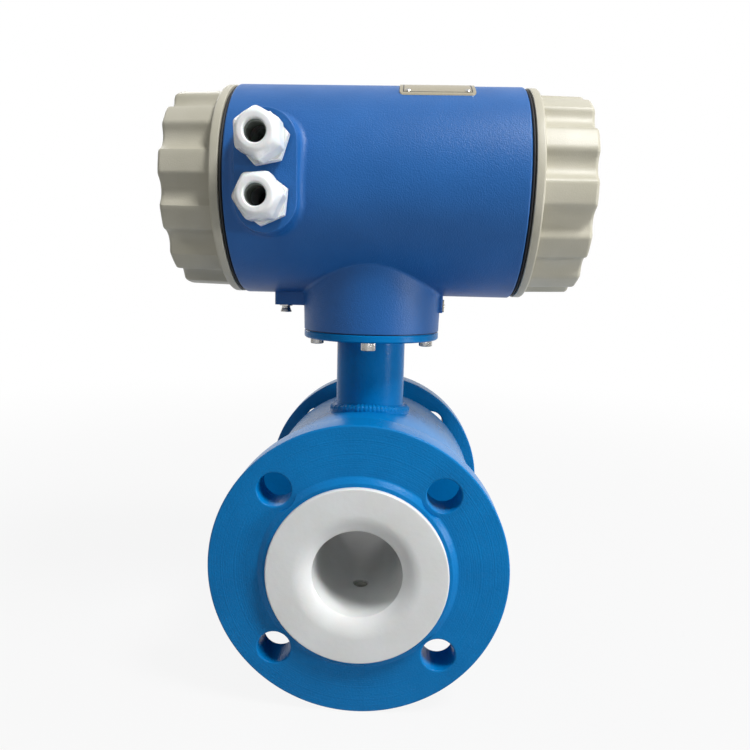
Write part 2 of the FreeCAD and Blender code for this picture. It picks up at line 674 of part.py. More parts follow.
def cover(phase, window):
    """A cover built pointing along +X from the housing's end face at the origin."""
    end_r = GRIP_R - GRIP_LENGTH * math.tan(math.radians(GRIP_DRAFT))
    grip = turned(X, [(RING_END - 0.5, 0), (RING_END - 0.5, GRIP_R), (COVER_END, end_r, GRIP_END_ROUND),
                      (COVER_END, 0)])
    lean = math.tan(math.radians(GRIP_DRAFT))
    middle_r = GRIP_R - GROOVE_DEPTH + GROOVE_R
    for index in range(GRIP_LOBES):
        angle = math.radians(phase + 360.0 * index / GRIP_LOBES)
        out = Vector(0, -math.cos(angle), math.sin(angle))
        along = (X - out * lean).normalize()
        base = X * (RING_END - 5) + out * (middle_r + 5 * lean)
        grip = grip.cut(Part.makeCylinder(GROOVE_R, GRIP_LENGTH + 12, base, along))
    ring = turned(X, [(-SPIGOT_LENGTH, 0), (-SPIGOT_LENGTH, SPIGOT_R, 0.6), (SEAL_GAP, SPIGOT_R),
                      (SEAL_GAP, RING_R, 0.4), (RING_END, RING_R, 1.2), (RING_END, 0)])
    body = joined([grip, ring])
    floor = COVER_END - COVER_END_WALL
    if not window:
        inside = turned(X, [(-SPIGOT_LENGTH - 1, 0), (-SPIGOT_LENGTH - 1, COVER_BORE_R),
                            (floor, COVER_BORE_R - COVER_BORE_TAPER, COVER_FLOOR_ROUND), (floor, 0)])
        tabs = [prism(rectangle(TAB_LENGTH, TAB_WIDTH, 1.0, (0, side * TAB_OFFSET)), COVER_END - 1,
                      COVER_END + TAB_HEIGHT, X) for side in (-1, 1)]
        tabs = [spun(tab, Vector(), X, TAB_TURN) for tab in tabs]
        return joined([body.cut(inside)] + tabs)
    step = floor - WINDOW_GASKET_THICK - WINDOW_GLASS_THICK - WINDOW_RING_THICK - WINDOW_RING_LEAD
    bevel_start = COVER_END - WINDOW_LIP_BEVEL
    return body.cut([
        rod(X, COVER_BORE_R, -SPIGOT_LENGTH - 1, step),
        rod(X, WINDOW_SEAT_R, step - 1, floor),
        turned(X, [(floor - 1, 0), (floor - 1, WINDOW_OPENING_R), (bevel_start, WINDOW_OPENING_R),
                   (bevel_start + 2, WINDOW_OPENING_R + 2), (bevel_start + 2, 0)])])


def window_parts():
    """Glass, its gasket against the cover's lip and the slotted ring that clamps it."""
    floor = COVER_END - COVER_END_WALL
    radius = WINDOW_SEAT_R - WINDOW_PLAY
    gasket = tube(X, radius, WINDOW_OPENING_R + 1, floor - WINDOW_GASKET_THICK, floor)
    glass_end = floor - WINDOW_GASKET_THICK
    glass_start = glass_end - WINDOW_GLASS_THICK
    glass = turned(X, [(glass_start, 0), (glass_start, radius, 0.6), (glass_end, radius, 0.6), (glass_end, 0)])
    ring_start = glass_start - WINDOW_RING_THICK
    ring = tube(X, WINDOW_SEAT_R, WINDOW_OPENING_R, ring_start, glass_start)
    for spot in around(X, Vector(), 4, 45, (WINDOW_SEAT_R + WINDOW_OPENING_R) / 2):
        ring = ring.cut(rod(X, WINDOW_RING_SLOT_R, ring_start - 1, ring_start + WINDOW_RING_THICK / 2, spot))
    return glass, gasket, ring


def cover_seal():
    """The rubber ring squeezed between the housing's end and the cover's ring."""
    return turned(X, [(SEAL_PLAY, SPIGOT_R + 0.6, 0.5), (SEAL_PLAY, RING_R - 0.5, 0.8),
                      (SEAL_GAP - SEAL_PLAY, RING_R - 0.5, 0.8), (SEAL_GAP - SEAL_PLAY, SPIGOT_R + 0.6, 0.5)])


def on_right(solid):
    """Move a cover part to the display end."""
    return solid.translated(Vector(HOUSING_RIGHT, 0, HOUSING_Z))


def on_left(solid):
    """Turn a cover part about Z and move it to the terminal end."""
    return spun(solid, Vector(), Z, 180).translated(Vector(HOUSING_LEFT, 0, HOUSING_Z))


# ---- cable glands -------------------------------------------------------------------------

def gland(at, body_turn, nut_turn):
    """Body, cap nut, rubber insert and washer of one gland, pointing along -Y from the pad."""
    out = -Y
    hex_end = GLAND_WASHER_THICK + GLAND_HEX_THICK
    washer = tube(out, GLAND_HEX_FLATS / 2 - 0.5, GLAND_THREAD_R, 0, GLAND_WASHER_THICK, at)
    body = joined([
        hexagon(out, GLAND_HEX_FLATS, GLAND_WASHER_THICK, hex_end, at, body_turn, bevel=1.0),
        turned(out, [(-GLAND_INNER_LENGTH, 0), (-GLAND_INNER_LENGTH, GLAND_THREAD_R, 0.8),
                     (GLAND_WASHER_THICK, GLAND_THREAD_R), (GLAND_WASHER_THICK, 0)], at),
        turned(out, [(hex_end, 0), (hex_end, GLAND_NECK_R), (GLAND_CLAW_START, GLAND_NECK_R),
                     (GLAND_CLAW_START, GLAND_CLAW_R), (GLAND_CLAW_END, GLAND_CLAW_TIP_R),
                     (GLAND_CLAW_END, 0)], at)])
    body = body.cut(rod(out, GLAND_BORE_R, -GLAND_INNER_LENGTH - 1, GLAND_CLAW_END + 1, at))
    for index in range(4):
        slot = prism(rectangle(GLAND_SLOT_WIDTH, 2.5 * GLAND_CLAW_R), GLAND_CLAW_START + 0.5,
                     GLAND_CLAW_END + 1, out, at)
        body = body.cut(spun(slot, at, Y, 45 * index))
    seal_r = GLAND_BORE_R - SEAL_SQUEEZE
    insert = turned(out, [(SEAL_START, SEAL_BORE_R, 0.8), (SEAL_START, seal_r), (SEAL_END, seal_r),
                          (SEAL_END, SEAL_BORE_R, 0.6)], at)
    shell = turned(out, [(NUT_START, 0), (NUT_START, NUT_FLATS * 0.56, 1.0), (NUT_HEX_END, NUT_FLATS * 0.585),
                         (NUT_SHOULDER, NUT_FLATS * 0.50), (NUT_END, NUT_END_R, 2.0), (NUT_END, 0)], at)
    nut = hexagon(out, NUT_FLATS, NUT_START, NUT_END, at, nut_turn).common(shell)
    thread_r = GLAND_NECK_R + THREAD_PLAY
    bevel_start = NUT_END - NUT_MOUTH_BEVEL
    nut = nut.cut(turned(out, [(NUT_START - 1, 0), (NUT_START - 1, thread_r), (NUT_THREAD_END, thread_r),
                               (NUT_CONE_END, GLAND_CLAW_TIP_R + 0.5), (NUT_CONE_END, NUT_OPENING_R),
                               (bevel_start, NUT_OPENING_R), (NUT_END + 0.2, NUT_OPENING_R + NUT_MOUTH_BEVEL),
                               (NUT_END + 0.2, 0)], at))
    return {"washer": washer, "body": body, "seal": insert, "nut": nut}


# ---- electronics --------------------------------------------------------------------------

def column_places():
    return [(a * COLUMN_OFFSET, HOUSING_Z + b * COLUMN_OFFSET) for a in (-1, 1) for b in (-1, 1)]


def board(x, radius, flat_z=None):
    """A round circuit board, cut flat at the bottom where a height is given."""
    solid = rod(X, radius, x, x + BOARD_THICK, HOUSING_AXIS)
    if flat_z is not None:
        solid = solid.cut(Part.makeBox(9, 4 * radius, radius, Vector(x - 4, -2 * radius,
                                                                    flat_z - radius)))
    return solid


def standoffs():
    """Hexagonal pillars between the partition, the boards and the display plate."""
    stops = ((PARTITION_BACK_X, POWER_BOARD_X), (POWER_BOARD_X + BOARD_THICK, MAIN_BOARD_X),
             (MAIN_BOARD_X + BOARD_THICK, DISPLAY_BOARD_X),
             (DISPLAY_BOARD_X + BOARD_THICK, DISPLAY_PLATE_X))
    solids = [hexagon(X, STANDOFF_FLATS, start, end, Vector(0, y, z))
              for y, z in column_places() for start, end in stops]
    solids += [hexagon(X, STANDOFF_FLATS, TERMINAL_BOARD_X + BOARD_THICK, PARTITION_X, Vector(0, y, z))
               for y, z in column_places()]
    return solids


def key_places():
    """The keys stand in a row under the display, spaced along Y."""
    first = -(KEY_COUNT - 1) / 2 * KEY_PITCH
    return [Vector(DISPLAY_PLATE_X, first + KEY_PITCH * k, HOUSING_Z - KEY_DROP) for k in range(KEY_COUNT)]


def display_plate():
    """The front plate with its screen window and key holes."""
    solid = rod(X, DISPLAY_R, DISPLAY_PLATE_X, DISPLAY_PLATE_X + DISPLAY_PLATE_THICK, HOUSING_AXIS)
    solid = round_off(solid, DISPLAY_EDGE_ROUND, lambda edge: edge.BoundBox.XMin > DISPLAY_PLATE_X + 1)
    solid = solid.cut(prism(rectangle(SCREEN_WINDOW_WIDTH, SCREEN_WINDOW_HEIGHT, 2.0, screen_middle()),
                            DISPLAY_PLATE_X - 1, DISPLAY_PLATE_X + DISPLAY_PLATE_THICK + 1, X))
    for spot in key_places():
        solid = solid.cut(rod(X, KEY_R + KEY_PLAY, -1, DISPLAY_PLATE_THICK + 1, spot))
    return solid


def screen_middle():
    return 0, HOUSING_Z + SCREEN_RISE


def screen():
    """The liquid crystal module, seated behind the window."""
    return prism(rectangle(SCREEN_WIDTH, SCREEN_HEIGHT, 1.0, screen_middle()), DISPLAY_BOARD_X + BOARD_THICK,
                 DISPLAY_PLATE_X, X)


def key(at):
    """A cap with a collar behind the plate. It stops short of its switch by its travel."""
    collar = KEY_R + KEY_COLLAR
    back = -(DISPLAY_PLATE_X - DISPLAY_BOARD_X - BOARD_THICK) + KEY_STEM_GAP
    return turned(X, [(back, 0), (back, KEY_STEM_R), (-KEY_COLLAR_BACK, KEY_STEM_R),
                      (-KEY_COLLAR_BACK, collar), (-KEY_PLAY, collar),
                      (-KEY_PLAY, KEY_R), (DISPLAY_PLATE_THICK + KEY_STAND, KEY_R, 0.8),
                      (DISPLAY_PLATE_THICK + KEY_STAND, 0)], at)


def display_board():
    """The display's circuit board with one push switch under each key."""
    solids = [board(DISPLAY_BOARD_X, DISPLAY_R)]
    face = DISPLAY_BOARD_X + BOARD_THICK
    for spot in key_places():
        solids.append(prism(rectangle(SWITCH_WIDTH, SWITCH_WIDTH, None, (spot.y, spot.z)), face - 0.2,
                            face + KEY_STEM_GAP - KEY_TRAVEL - KEY_PLAY, X))
    return joined(solids)


def terminal_blocks():
    """Two rows of screw terminals on the terminal board, facing the cover."""
    blocks, screws = [], []
    face = TERMINAL_BOARD_X - TERMINAL_DEPTH
    row_length = TERMINAL_WAYS * TERMINAL_PITCH + 2
    for out in (-1, 1):
        middle_z = HOUSING_Z + out * TERMINAL_ROW_OFFSET
        block = prism(rectangle(row_length, TERMINAL_WIDTH, 1.0, (0, middle_z)), face, TERMINAL_BOARD_X, X)
        for k in range(TERMINAL_WAYS):
            y = (k - (TERMINAL_WAYS - 1) / 2) * TERMINAL_PITCH
            block = block.cut(rod(X, TERMINAL_HOLE_R, face - 1, face + TERMINAL_HOLE_DEPTH,
                                  Vector(0, y, middle_z)))
            entry = rectangle(WIRE_ENTRY_HEIGHT, WIRE_ENTRY_WIDTH, None, (face + WIRE_ENTRY_OFFSET, y))
            block = block.cut(prism(entry, 0, TERMINAL_WIDTH, Z * out, Vector(0, 0, middle_z + out * 2.0)))
            screws.append(turned(-X, [(0, 0), (0, TERMINAL_SCREW_R), (2.5, TERMINAL_SCREW_R, 0.4), (2.5, 0)],
                                 Vector(face + TERMINAL_HOLE_DEPTH, y, middle_z)))
        blocks.append(block)
    return blocks, screws


def power_parts():
    """A transformer and two round capacitors standing on the power board."""
    face = POWER_BOARD_X + BOARD_THICK
    middle = (TRANSFORMER_Y, HOUSING_Z + TRANSFORMER_RISE)
    core = prism(rectangle(34.0, 28.0, 1.0, middle), face, face + 14, X)
    winding = prism(rectangle(22.0, 36.0, 4.0, middle), face + 2, face + 20, X)
    cans = [rod(X, CAPACITOR_R, face, face + CAPACITOR_LENGTH,
                Vector(0, CAPACITOR_Y, HOUSING_Z + side * CAPACITOR_PITCH / 2)) for side in (-1, 1)]
    rim = face + CAPACITOR_LENGTH - 2
    cans = [round_off(can, 1.0, lambda edge: edge.BoundBox.XMin > rim) for can in cans]
    return joined([core, winding]), cans


# ---- small parts outside ------------------------------------------------------------------

def nameplate():
    """A thin plate bent to the housing's barrel, centred on its top."""
    bent = tube(X, HOUSING_R + NAMEPLATE_THICK, HOUSING_R, PLATE_LEFT, PLATE_RIGHT, HOUSING_AXIS)
    middle = (PLATE_LEFT + PLATE_RIGHT) / 2
    blank = prism(rectangle(PLATE_RIGHT - PLATE_LEFT, NAMEPLATE_DEPTH, NAMEPLATE_CORNER, (middle, 0)),
                  HOUSING_Z, HOUSING_Z + HOUSING_R + 5)
    return bent.common(blank)


def nameplate_rivets():
    """A domed rivet at each corner, standing square to the barrel."""
    rivets = []
    reach = NAMEPLATE_DEPTH / 2 - RIVET_INSET
    tilt = math.degrees(math.asin(reach / HOUSING_R))
    for x in (PLATE_LEFT + RIVET_INSET, PLATE_RIGHT - RIVET_INSET):
        for side in (-1, 1):
            out = Vector(0, side * math.sin(math.radians(tilt)), math.cos(math.radians(tilt)))
            top = HOUSING_R + NAMEPLATE_THICK + RIVET_STAND
            ball = Part.makeSphere(RIVET_DOME_R, HOUSING_AXIS + X * x + out * (top - RIVET_DOME_R))
            rivets.append(ball.common(rod(out, RIVET_R, HOUSING_R, top + 1, HOUSING_AXIS + X * x))
                          .cut(rod(X, HOUSING_R + NAMEPLATE_THICK, PLATE_LEFT, PLATE_RIGHT, HOUSING_AXIS)))
    return rivets


def side_tag():
    """A small blank tag pinned to the pad beside the neck."""
    top, foot = TAG_TOP_Z - TAG_TOP_MARGIN, TAG_BOTTOM_Z + TAG_FOOT_MARGIN
    middle = (0, (top + foot) / 2)
    tag = prism(rectangle(TAG_PAD_WIDTH - 2 * TAG_MARGIN, top - foot, 1.0, middle), TAG_PAD_X,
                TAG_PAD_X + TAG_THICK, X)
    pin_end = TAG_THICK + TAG_PIN_STAND
    pins = [turned(X, [(TAG_THICK, 0), (TAG_THICK, TAG_PIN_R), (pin_end, TAG_PIN_R - 0.4, 0.3), (pin_end, 0)],
                   Vector(TAG_PAD_X, side * TAG_PIN_OFFSET, middle[1])) for side in (-1, 1)]
    return tag, pins


def ground_screw():
    """The outside ground screw with its washer, hanging under the lug."""
    at = Vector(LUG_SCREW_X, 0, LUG_BOTTOM_Z)
    seat = GROUND_WASHER_THICK
    washer = tube(-Z, GROUND_WASHER_R, GROUND_SCREW_R, 0, seat, at)
    screw = turned(-Z, [(-GROUND_SCREW_LENGTH, 0), (-GROUND_SCREW_LENGTH, GROUND_SCREW_R),
                        (seat, GROUND_SCREW_R), (seat, 2.6), (seat + 1.4, 2.8), (seat + 3.6, 3.6),
                        (seat + 4.0, 3.4), (seat + 4.0, 0)], at)
    slot = prism(rectangle(9.0, 0.9), 4.0, 5.5, -Z, at)
    return washer, screw.cut(slot)


# ---- assembly -----------------------------------------------------------------------------

def main():
    outlet = flange()
    export("outlet_flange", outlet)
    export("inlet_flange", spun(outlet, Vector(), Z, 180))
    export("measuring_tube", measuring_tube())
    export("liner", liner())
    for name, at, out in electrode_places():
        export(name, electrode(at, out))
    bushes, springs, nuts = electrode_fittings()
    export("electrode_bushes", *bushes)
    export("electrode_springs", *springs)
    export("electrode_nuts", *nuts)

    for name, up in (("upper", Z), ("lower", -Z)):
        coil, core = coil_parts(up)
        export(name + "_coil", coil)
        export(name + "_core", core)
    export("field_yoke", tube(Y, YOKE_R, YOKE_R - YOKE_THICK, -YOKE_LENGTH / 2, YOKE_LENGTH / 2))

    export("sensor_shell", sensor_shell())
    export("inlet_shell_end", shell_end(-1))
    export("outlet_shell_end", shell_end(1))
    export("neck_tube", neck_tube())
    export("neck_plate", neck_plate())
    export("neck_gasket", neck_gasket())
    export("neck_potting", rod(Z, NECK_IN, PLATE_BOTTOM_Z - POTTING_THICK, PLATE_BOTTOM_Z))
    export("neck_screws", *[neck_screw(spot + Z * PLATE_BOTTOM_Z) for spot in neck_screw_places()])

    export("converter_housing", converter_housing())
    export("terminal_cover", on_left(cover(LEFT_GRIP_PHASE, False)))
    export("terminal_cover_seal", on_left(cover_seal()))
    export("display_cover", on_right(cover(RIGHT_GRIP_PHASE, True)))
    export("display_cover_seal", on_right(cover_seal()))
    glass, gasket, ring = window_parts()
    export("window_glass", on_right(glass))
    export("window_gasket", on_right(gasket))
    export("window_ring", on_right(ring))

    turns = {"upper": (UPPER_BODY_TURN, UPPER_NUT_TURN), "lower": (LOWER_BODY_TURN, LOWER_NUT_TURN)}
    washers = []
    for name, at in gland_places():
        pieces = gland(at, *turns[name])
        washers.append(pieces["washer"])
        for piece in ("body", "seal", "nut"):
            export("%s_gland_%s" % (name, piece), pieces[piece])
    export("gland_washers", *washers)

    export("terminal_board", board(TERMINAL_BOARD_X, CHAMBER_BOARD_R))
    blocks, screws = terminal_blocks()
    export("terminal_blocks", *blocks)
    export("terminal_screws", *screws)
    export("power_board", board(POWER_BOARD_X, CHAMBER_BOARD_R, HOUSING_Z - POWER_BOARD_FLAT))
    transformer, cans = power_parts()
    export("transformer", transformer)
    export("capacitors", *cans)
    export("main_board", board(MAIN_BOARD_X, CHAMBER_BOARD_R))
    export("board_standoffs", *standoffs())
    export("display_board", display_board())
    export("display_screen", screen())
    export("display_plate", display_plate())
    for index, spot in enumerate(key_places()):
        export("key_%d" % (index + 1), key(spot))
    plate_face = DISPLAY_PLATE_X + DISPLAY_PLATE_THICK
    export("display_screws", *[turned(X, [(plate_face, 0), (plate_face, 2.8), (plate_face + 2.0, 2.3, 0.6),
                                          (plate_face + 2.0, 0)], Vector(0, y, z))
                               for y, z in column_places()])

    export("nameplate", nameplate())
    export("nameplate_rivets", *nameplate_rivets())
    tag, pins = side_tag()
    export("side_tag", tag)
    export("side_tag_pins", *pins)
    washer, screw = ground_screw()
    export("ground_washer", washer)
    export("ground_screw", screw)


main()
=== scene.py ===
import math

import bmesh
import bpy
from mathutils import Matrix, Vector


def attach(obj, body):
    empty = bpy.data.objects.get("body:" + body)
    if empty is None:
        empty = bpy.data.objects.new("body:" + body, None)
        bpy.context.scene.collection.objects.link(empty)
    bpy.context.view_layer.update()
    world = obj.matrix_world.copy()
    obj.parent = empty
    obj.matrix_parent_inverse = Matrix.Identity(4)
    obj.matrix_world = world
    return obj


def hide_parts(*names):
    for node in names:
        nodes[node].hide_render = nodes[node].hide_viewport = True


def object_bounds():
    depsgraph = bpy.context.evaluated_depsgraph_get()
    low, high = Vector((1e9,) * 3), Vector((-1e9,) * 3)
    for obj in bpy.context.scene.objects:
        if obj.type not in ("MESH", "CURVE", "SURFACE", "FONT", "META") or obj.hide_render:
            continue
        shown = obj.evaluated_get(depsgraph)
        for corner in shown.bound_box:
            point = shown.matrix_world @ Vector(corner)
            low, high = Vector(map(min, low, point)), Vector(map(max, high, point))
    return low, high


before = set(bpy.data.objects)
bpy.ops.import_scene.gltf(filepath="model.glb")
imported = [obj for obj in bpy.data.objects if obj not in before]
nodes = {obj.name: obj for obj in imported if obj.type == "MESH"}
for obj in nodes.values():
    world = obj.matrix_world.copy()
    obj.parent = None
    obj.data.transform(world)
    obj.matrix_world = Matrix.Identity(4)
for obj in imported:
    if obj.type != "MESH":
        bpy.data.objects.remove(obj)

cad_low, cad_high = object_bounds()


# ---- stage: floor, light and camera -------------------------------------------------------
# The meter stands on its round flanges on a plain pale floor. A soft key lamp is close by on the
# upper right, with weaker ones low on the right, on the left and behind. The floor turns plain
# white away from the meter.
FLOOR_HALF = 8.0
FLOOR_WHITE = 0.38
FLOOR_NEAR, FLOOR_FAR = 0.20, 1.2
WHITE_NEAR, WHITE_FAR = 0.90, 1.0
SKY_COLOUR, SKY_STRENGTH = (0.96, 0.98, 1.0, 1), 0.22
PLAIN_WHITE = (1, 1, 1, 1)
AIM = Vector((0.0, 0.0, 0.10))
LAMPS = (("key lamp", (0.75, -0.55, 1.40), 0.45, 27.0),
         ("side lamp", (0.95, -0.45, 0.12), 0.2, 4.5),
         ("fill lamp", (-1.0, -1.1, 0.7), 0.9, 1.5),
         ("back lamp", (-0.9, 1.2, 0.9), 0.9, 6.0))


def lamp(name, place, width, watts):
    """A round soft lamp at a place, turned to the meter."""
    data = bpy.data.lights.new(name, "AREA")
    data.shape = "DISK"
    data.size = width
    data.energy = watts
    holder = bpy.data.objects.new(name, data)
    holder.location = place
    holder.rotation_euler = (AIM - Vector(place)).to_track_quat("-Z", "Y").to_euler()
    bpy.context.scene.collection.objects.link(holder)


for name, place, width, watts in LAMPS:
    lamp(name, place, width, watts)


def maths(tree, operation, *terms):
    """A maths node. Each term is a number or another node's socket."""
    made = tree.nodes.new("ShaderNodeMath")
    made.operation = operation
    for socket, term in zip(made.inputs, terms):
        if isinstance(term, (int, float)):
            socket.default_value = term
        else:
            tree.links.new(term, socket)
    return made.outputs[0]


def white_to_camera(tree, lit, white_shader, share=None):
    """Mix a lit shader with plain white for camera, mirror and see-through rays. A share is a
    socket that says how much of it is white at each place."""
    rays = tree.nodes.new("ShaderNodeLightPath").outputs
    seen = maths(tree, "MAXIMUM", rays["Is Camera Ray"], rays["Is Glossy Ray"])
    seen = maths(tree, "MAXIMUM", seen, rays["Is Transmission Ray"])
    if share is not None:
        seen = maths(tree, "MULTIPLY", seen, share)
    white = tree.nodes.new(white_shader)
    white.inputs["Color"].default_value = PLAIN_WHITE
    white.inputs["Strength"].default_value = 1.0
    mix = tree.nodes.new("ShaderNodeMixShader")
    tree.links.new(seen, mix.inputs[0])
    tree.links.new(lit.outputs[0], mix.inputs[1])
    tree.links.new(white.outputs[0], mix.inputs[2])
    return mix


floor_mesh = bpy.data.meshes.new("floor")
floor_z = cad_low.z
floor_mesh.from_pydata([(-FLOOR_HALF, -FLOOR_HALF, floor_z), (FLOOR_HALF, -FLOOR_HALF, floor_z),
                        (FLOOR_HALF, FLOOR_HALF, floor_z), (-FLOOR_HALF, FLOOR_HALF, floor_z)],
                       [], [(0, 1, 2, 3)])
floor = bpy.data.objects.new("floor", floor_mesh)
bpy.context.scene.collection.objects.link(floor)
floor_paint = bpy.data.materials.new("floor paint")
floor_paint.use_nodes = True
floor_tree = floor_paint.node_tree
floor_tree.nodes.clear()
floor_lit = floor_tree.nodes.new("ShaderNodeBsdfDiffuse")
floor_lit.inputs["Color"].default_value = (FLOOR_WHITE, FLOOR_WHITE, FLOOR_WHITE, 1)
floor_out = floor_tree.nodes.new("ShaderNodeOutputMaterial")
floor_place = floor_tree.nodes.new("ShaderNodeTexCoord")
floor_reach = floor_tree.nodes.new("ShaderNodeVectorMath")
floor_reach.operation = "LENGTH"
floor_share = floor_tree.nodes.new("ShaderNodeMapRange")
floor_share.interpolation_type = "SMOOTHSTEP"
floor_share.inputs["From Min"].default_value = FLOOR_NEAR
floor_share.inputs["From Max"].default_value = FLOOR_FAR
floor_share.inputs["To Min"].default_value = WHITE_NEAR
floor_share.inputs["To Max"].default_value = WHITE_FAR
floor_tree.links.new(floor_place.outputs["Object"], floor_reach.inputs[0])
floor_tree.links.new(floor_reach.outputs["Value"], floor_share.inputs["Value"])
floor_seen = white_to_camera(floor_tree, floor_lit, "ShaderNodeEmission", floor_share.outputs["Result"])
floor_tree.links.new(floor_seen.outputs[0], floor_out.inputs[0])
floor_mesh.materials.append(floor_paint)

sky = bpy.data.worlds.new("soft white room")
bpy.context.scene.world = sky
sky.use_nodes = True
sky_tree = sky.node_tree
sky_tree.nodes.clear()
sky_lit = sky_tree.nodes.new("ShaderNodeBackground")
sky_lit.inputs["Color"].default_value = SKY_COLOUR
sky_lit.inputs["Strength"].default_value = SKY_STRENGTH
sky_out = sky_tree.nodes.new("ShaderNodeOutputWorld")
sky_seen = white_to_camera(sky_tree, sky_lit, "ShaderNodeBackground")
sky_tree.links.new(sky_seen.outputs[0], sky_out.inputs[0])

CAMERA_PLACE = Vector((0.01994, -0.41243, 0.15411))
CAMERA_YAW, CAMERA_PITCH, CAMERA_ROLL = 0.04097, -0.14979, -0.02418
LENS_MM, SENSOR_MM, NEAREST = 30.80, 36.0, 0.01
turn = (Matrix.Rotation(CAMERA_YAW, 4, "Z") @ Matrix.Rotation(CAMERA_PITCH, 4, "X")
        @ Matrix.Rotation(CAMERA_ROLL, 4, "Y") @ Matrix.Rotation(math.pi / 2, 4, "X"))
camera_data = bpy.data.cameras.new("camera")
camera_data.sensor_width = SENSOR_MM
camera_data.lens = LENS_MM
camera_data.clip_start = NEAREST
camera = bpy.data.objects.new("camera", camera_data)
camera.matrix_world = Matrix.Translation(CAMERA_PLACE) @ turn
bpy.context.scene.collection.objects.link(camera)
bpy.context.scene.camera = camera
bpy.context.scene.view_settings.view_transform = "Standard"


# ---- measuring tube -----------------------------------------------------------------------
# A plain drawn stainless tube with a welded boss for each electrode. It shows between the shell
# and the flanges, where it is sprayed with the rest of the sensor.
def screen(red, green, blue):
    """A colour given as it shows on a screen, 0 to 255, as the shader's own linear value."""
    linear = []
    for part in (red, green, blue):
        part /= 255.0
        linear.append(part / 12.92 if part <= 0.04045 else ((part + 0.055) / 1.055) ** 2.4)
    return (*linear, 1.0)


# The colour sockets of a mix node, by their number: from, to and result
MIX_FROM, MIX_TO, MIX_RESULT = 6, 7, 2


def surface_group():
    """Mottled colour, uneven gloss and a fine grain, as any painted or moulded skin has."""
    tree = bpy.data.node_groups.new("surface skin", "ShaderNodeTree")
    sockets = (("Place", "NodeSocketVector", None),
               ("Colour", "NodeSocketColor", (0.5, 0.5, 0.5, 1)),
               ("Shade", "NodeSocketColor", (0.4, 0.4, 0.4, 1)),
               ("Mottle Scale", "NodeSocketFloat", 25.0),
               ("Grain Scale", "NodeSocketFloat", 900.0),
               ("Grain Depth", "NodeSocketFloat", 0.0002),
               ("Smoothest", "NodeSocketFloat", 0.3),
               ("Roughest", "NodeSocketFloat", 0.4))
    for name, kind, value in sockets:
        socket = tree.interface.new_socket(name=name, in_out="INPUT", socket_type=kind)
        if value is not None:
            socket.default_value = value
    for name, kind in (("Colour", "NodeSocketColor"), ("Roughness", "NodeSocketFloat"),
                       ("Normal", "NodeSocketVector")):
        tree.interface.new_socket(name=name, in_out="OUTPUT", socket_type=kind)
    into = tree.nodes.new("NodeGroupInput")
    out = tree.nodes.new("NodeGroupOutput")
    link = tree.links.new

    def noise(scale_name, detail):
        made = tree.nodes.new("ShaderNodeTexNoise")
        made.inputs["Detail"].default_value = detail
        link(into.outputs["Place"], made.inputs["Vector"])
        link(into.outputs[scale_name], made.inputs["Scale"])
        return made.outputs["Fac"]

    mottle = noise("Mottle Scale", 4.0)
    grain = noise("Grain Scale", 3.0)
    spread = tree.nodes.new("ShaderNodeMapRange")
    spread.inputs["From Min"].default_value = 0.35
    spread.inputs["From Max"].default_value = 0.65
    link(mottle, spread.inputs["Value"])
    tint = tree.nodes.new("ShaderNodeMix")
    tint.data_type = "RGBA"
    link(spread.outputs["Result"], tint.inputs["Factor"])
    link(into.outputs["Colour"], tint.inputs[MIX_FROM])
    link(into.outputs["Shade"], tint.inputs[MIX_TO])
    link(tint.outputs[MIX_RESULT], out.inputs["Colour"])
    gloss = tree.nodes.new("ShaderNodeMapRange")
    link(mottle, gloss.inputs["Value"])
    link(into.outputs["Smoothest"], gloss.inputs["To Min"])
    link(into.outputs["Roughest"], gloss.inputs["To Max"])
    link(gloss.outputs["Result"], out.inputs["Roughness"])
    bump = tree.nodes.new("ShaderNodeBump")
    bump.inputs["Strength"].default_value = 1.0
    link(into.outputs["Grain Depth"], bump.inputs["Distance"])
    link(grain, bump.inputs["Height"])
    link(bump.outputs["Normal"], out.inputs["Normal"])
    return tree


SKIN = surface_group()


def finish(name, colour, shade, gloss, grain, mottle=25.0, metal=0.0, waxy=0.0, shine=0.5):
    """A material from the skin group: two screen colours, the smoothest and roughest gloss, the
    grain's scale and depth. Constants stay on the shader's own sockets."""
    made = bpy.data.materials.new(name)
    made.use_nodes = True
    tree = made.node_tree
    shader = tree.nodes["Principled BSDF"]
    shader.inputs["Metallic"].default_value = metal
    shader.inputs["Specular IOR Level"].default_value = shine
    shader.inputs["Subsurface Weight"].default_value = waxy
    shader.inputs["Subsurface Scale"].default_value = 0.002
    place = tree.nodes.new("ShaderNodeTexCoord")
    skin = tree.nodes.new("ShaderNodeGroup")
    skin.node_tree = SKIN
    skin.name = "skin"
    skin.inputs["Colour"].default_value = screen(*colour)
    skin.inputs["Shade"].default_value = screen(*shade)
    skin.inputs["Mottle Scale"].default_value = mottle
    skin.inputs["Grain Scale"].default_value = grain[0]
    skin.inputs["Grain Depth"].default_value = grain[1]
    skin.inputs["Smoothest"].default_value = gloss[0]
    skin.inputs["Roughest"].default_value = gloss[1]
    tree.links.new(place.outputs["Object"], skin.inputs["Place"])
    tree.links.new(skin.outputs["Colour"], shader.inputs["Base Color"])
    tree.links.new(skin.outputs["Roughness"], shader.inputs["Roughness"])
    tree.links.new(skin.outputs["Normal"], shader.inputs["Normal"])
    return made


def dress(material, *names):
    """Give CAD nodes their finish."""
    for name in names:
        for holder in nodes[name].material_slots:
            holder.material = material


enamel_blue, enamel_shade = (4, 116, 182), (4, 110, 174)
shell_enamel = finish("sky-blue enamel", enamel_blue, enamel_shade, (0.20, 0.32),
                      (520.0, 0.00012), 40.0, shine=0.07)
dress(shell_enamel, "measuring_tube")


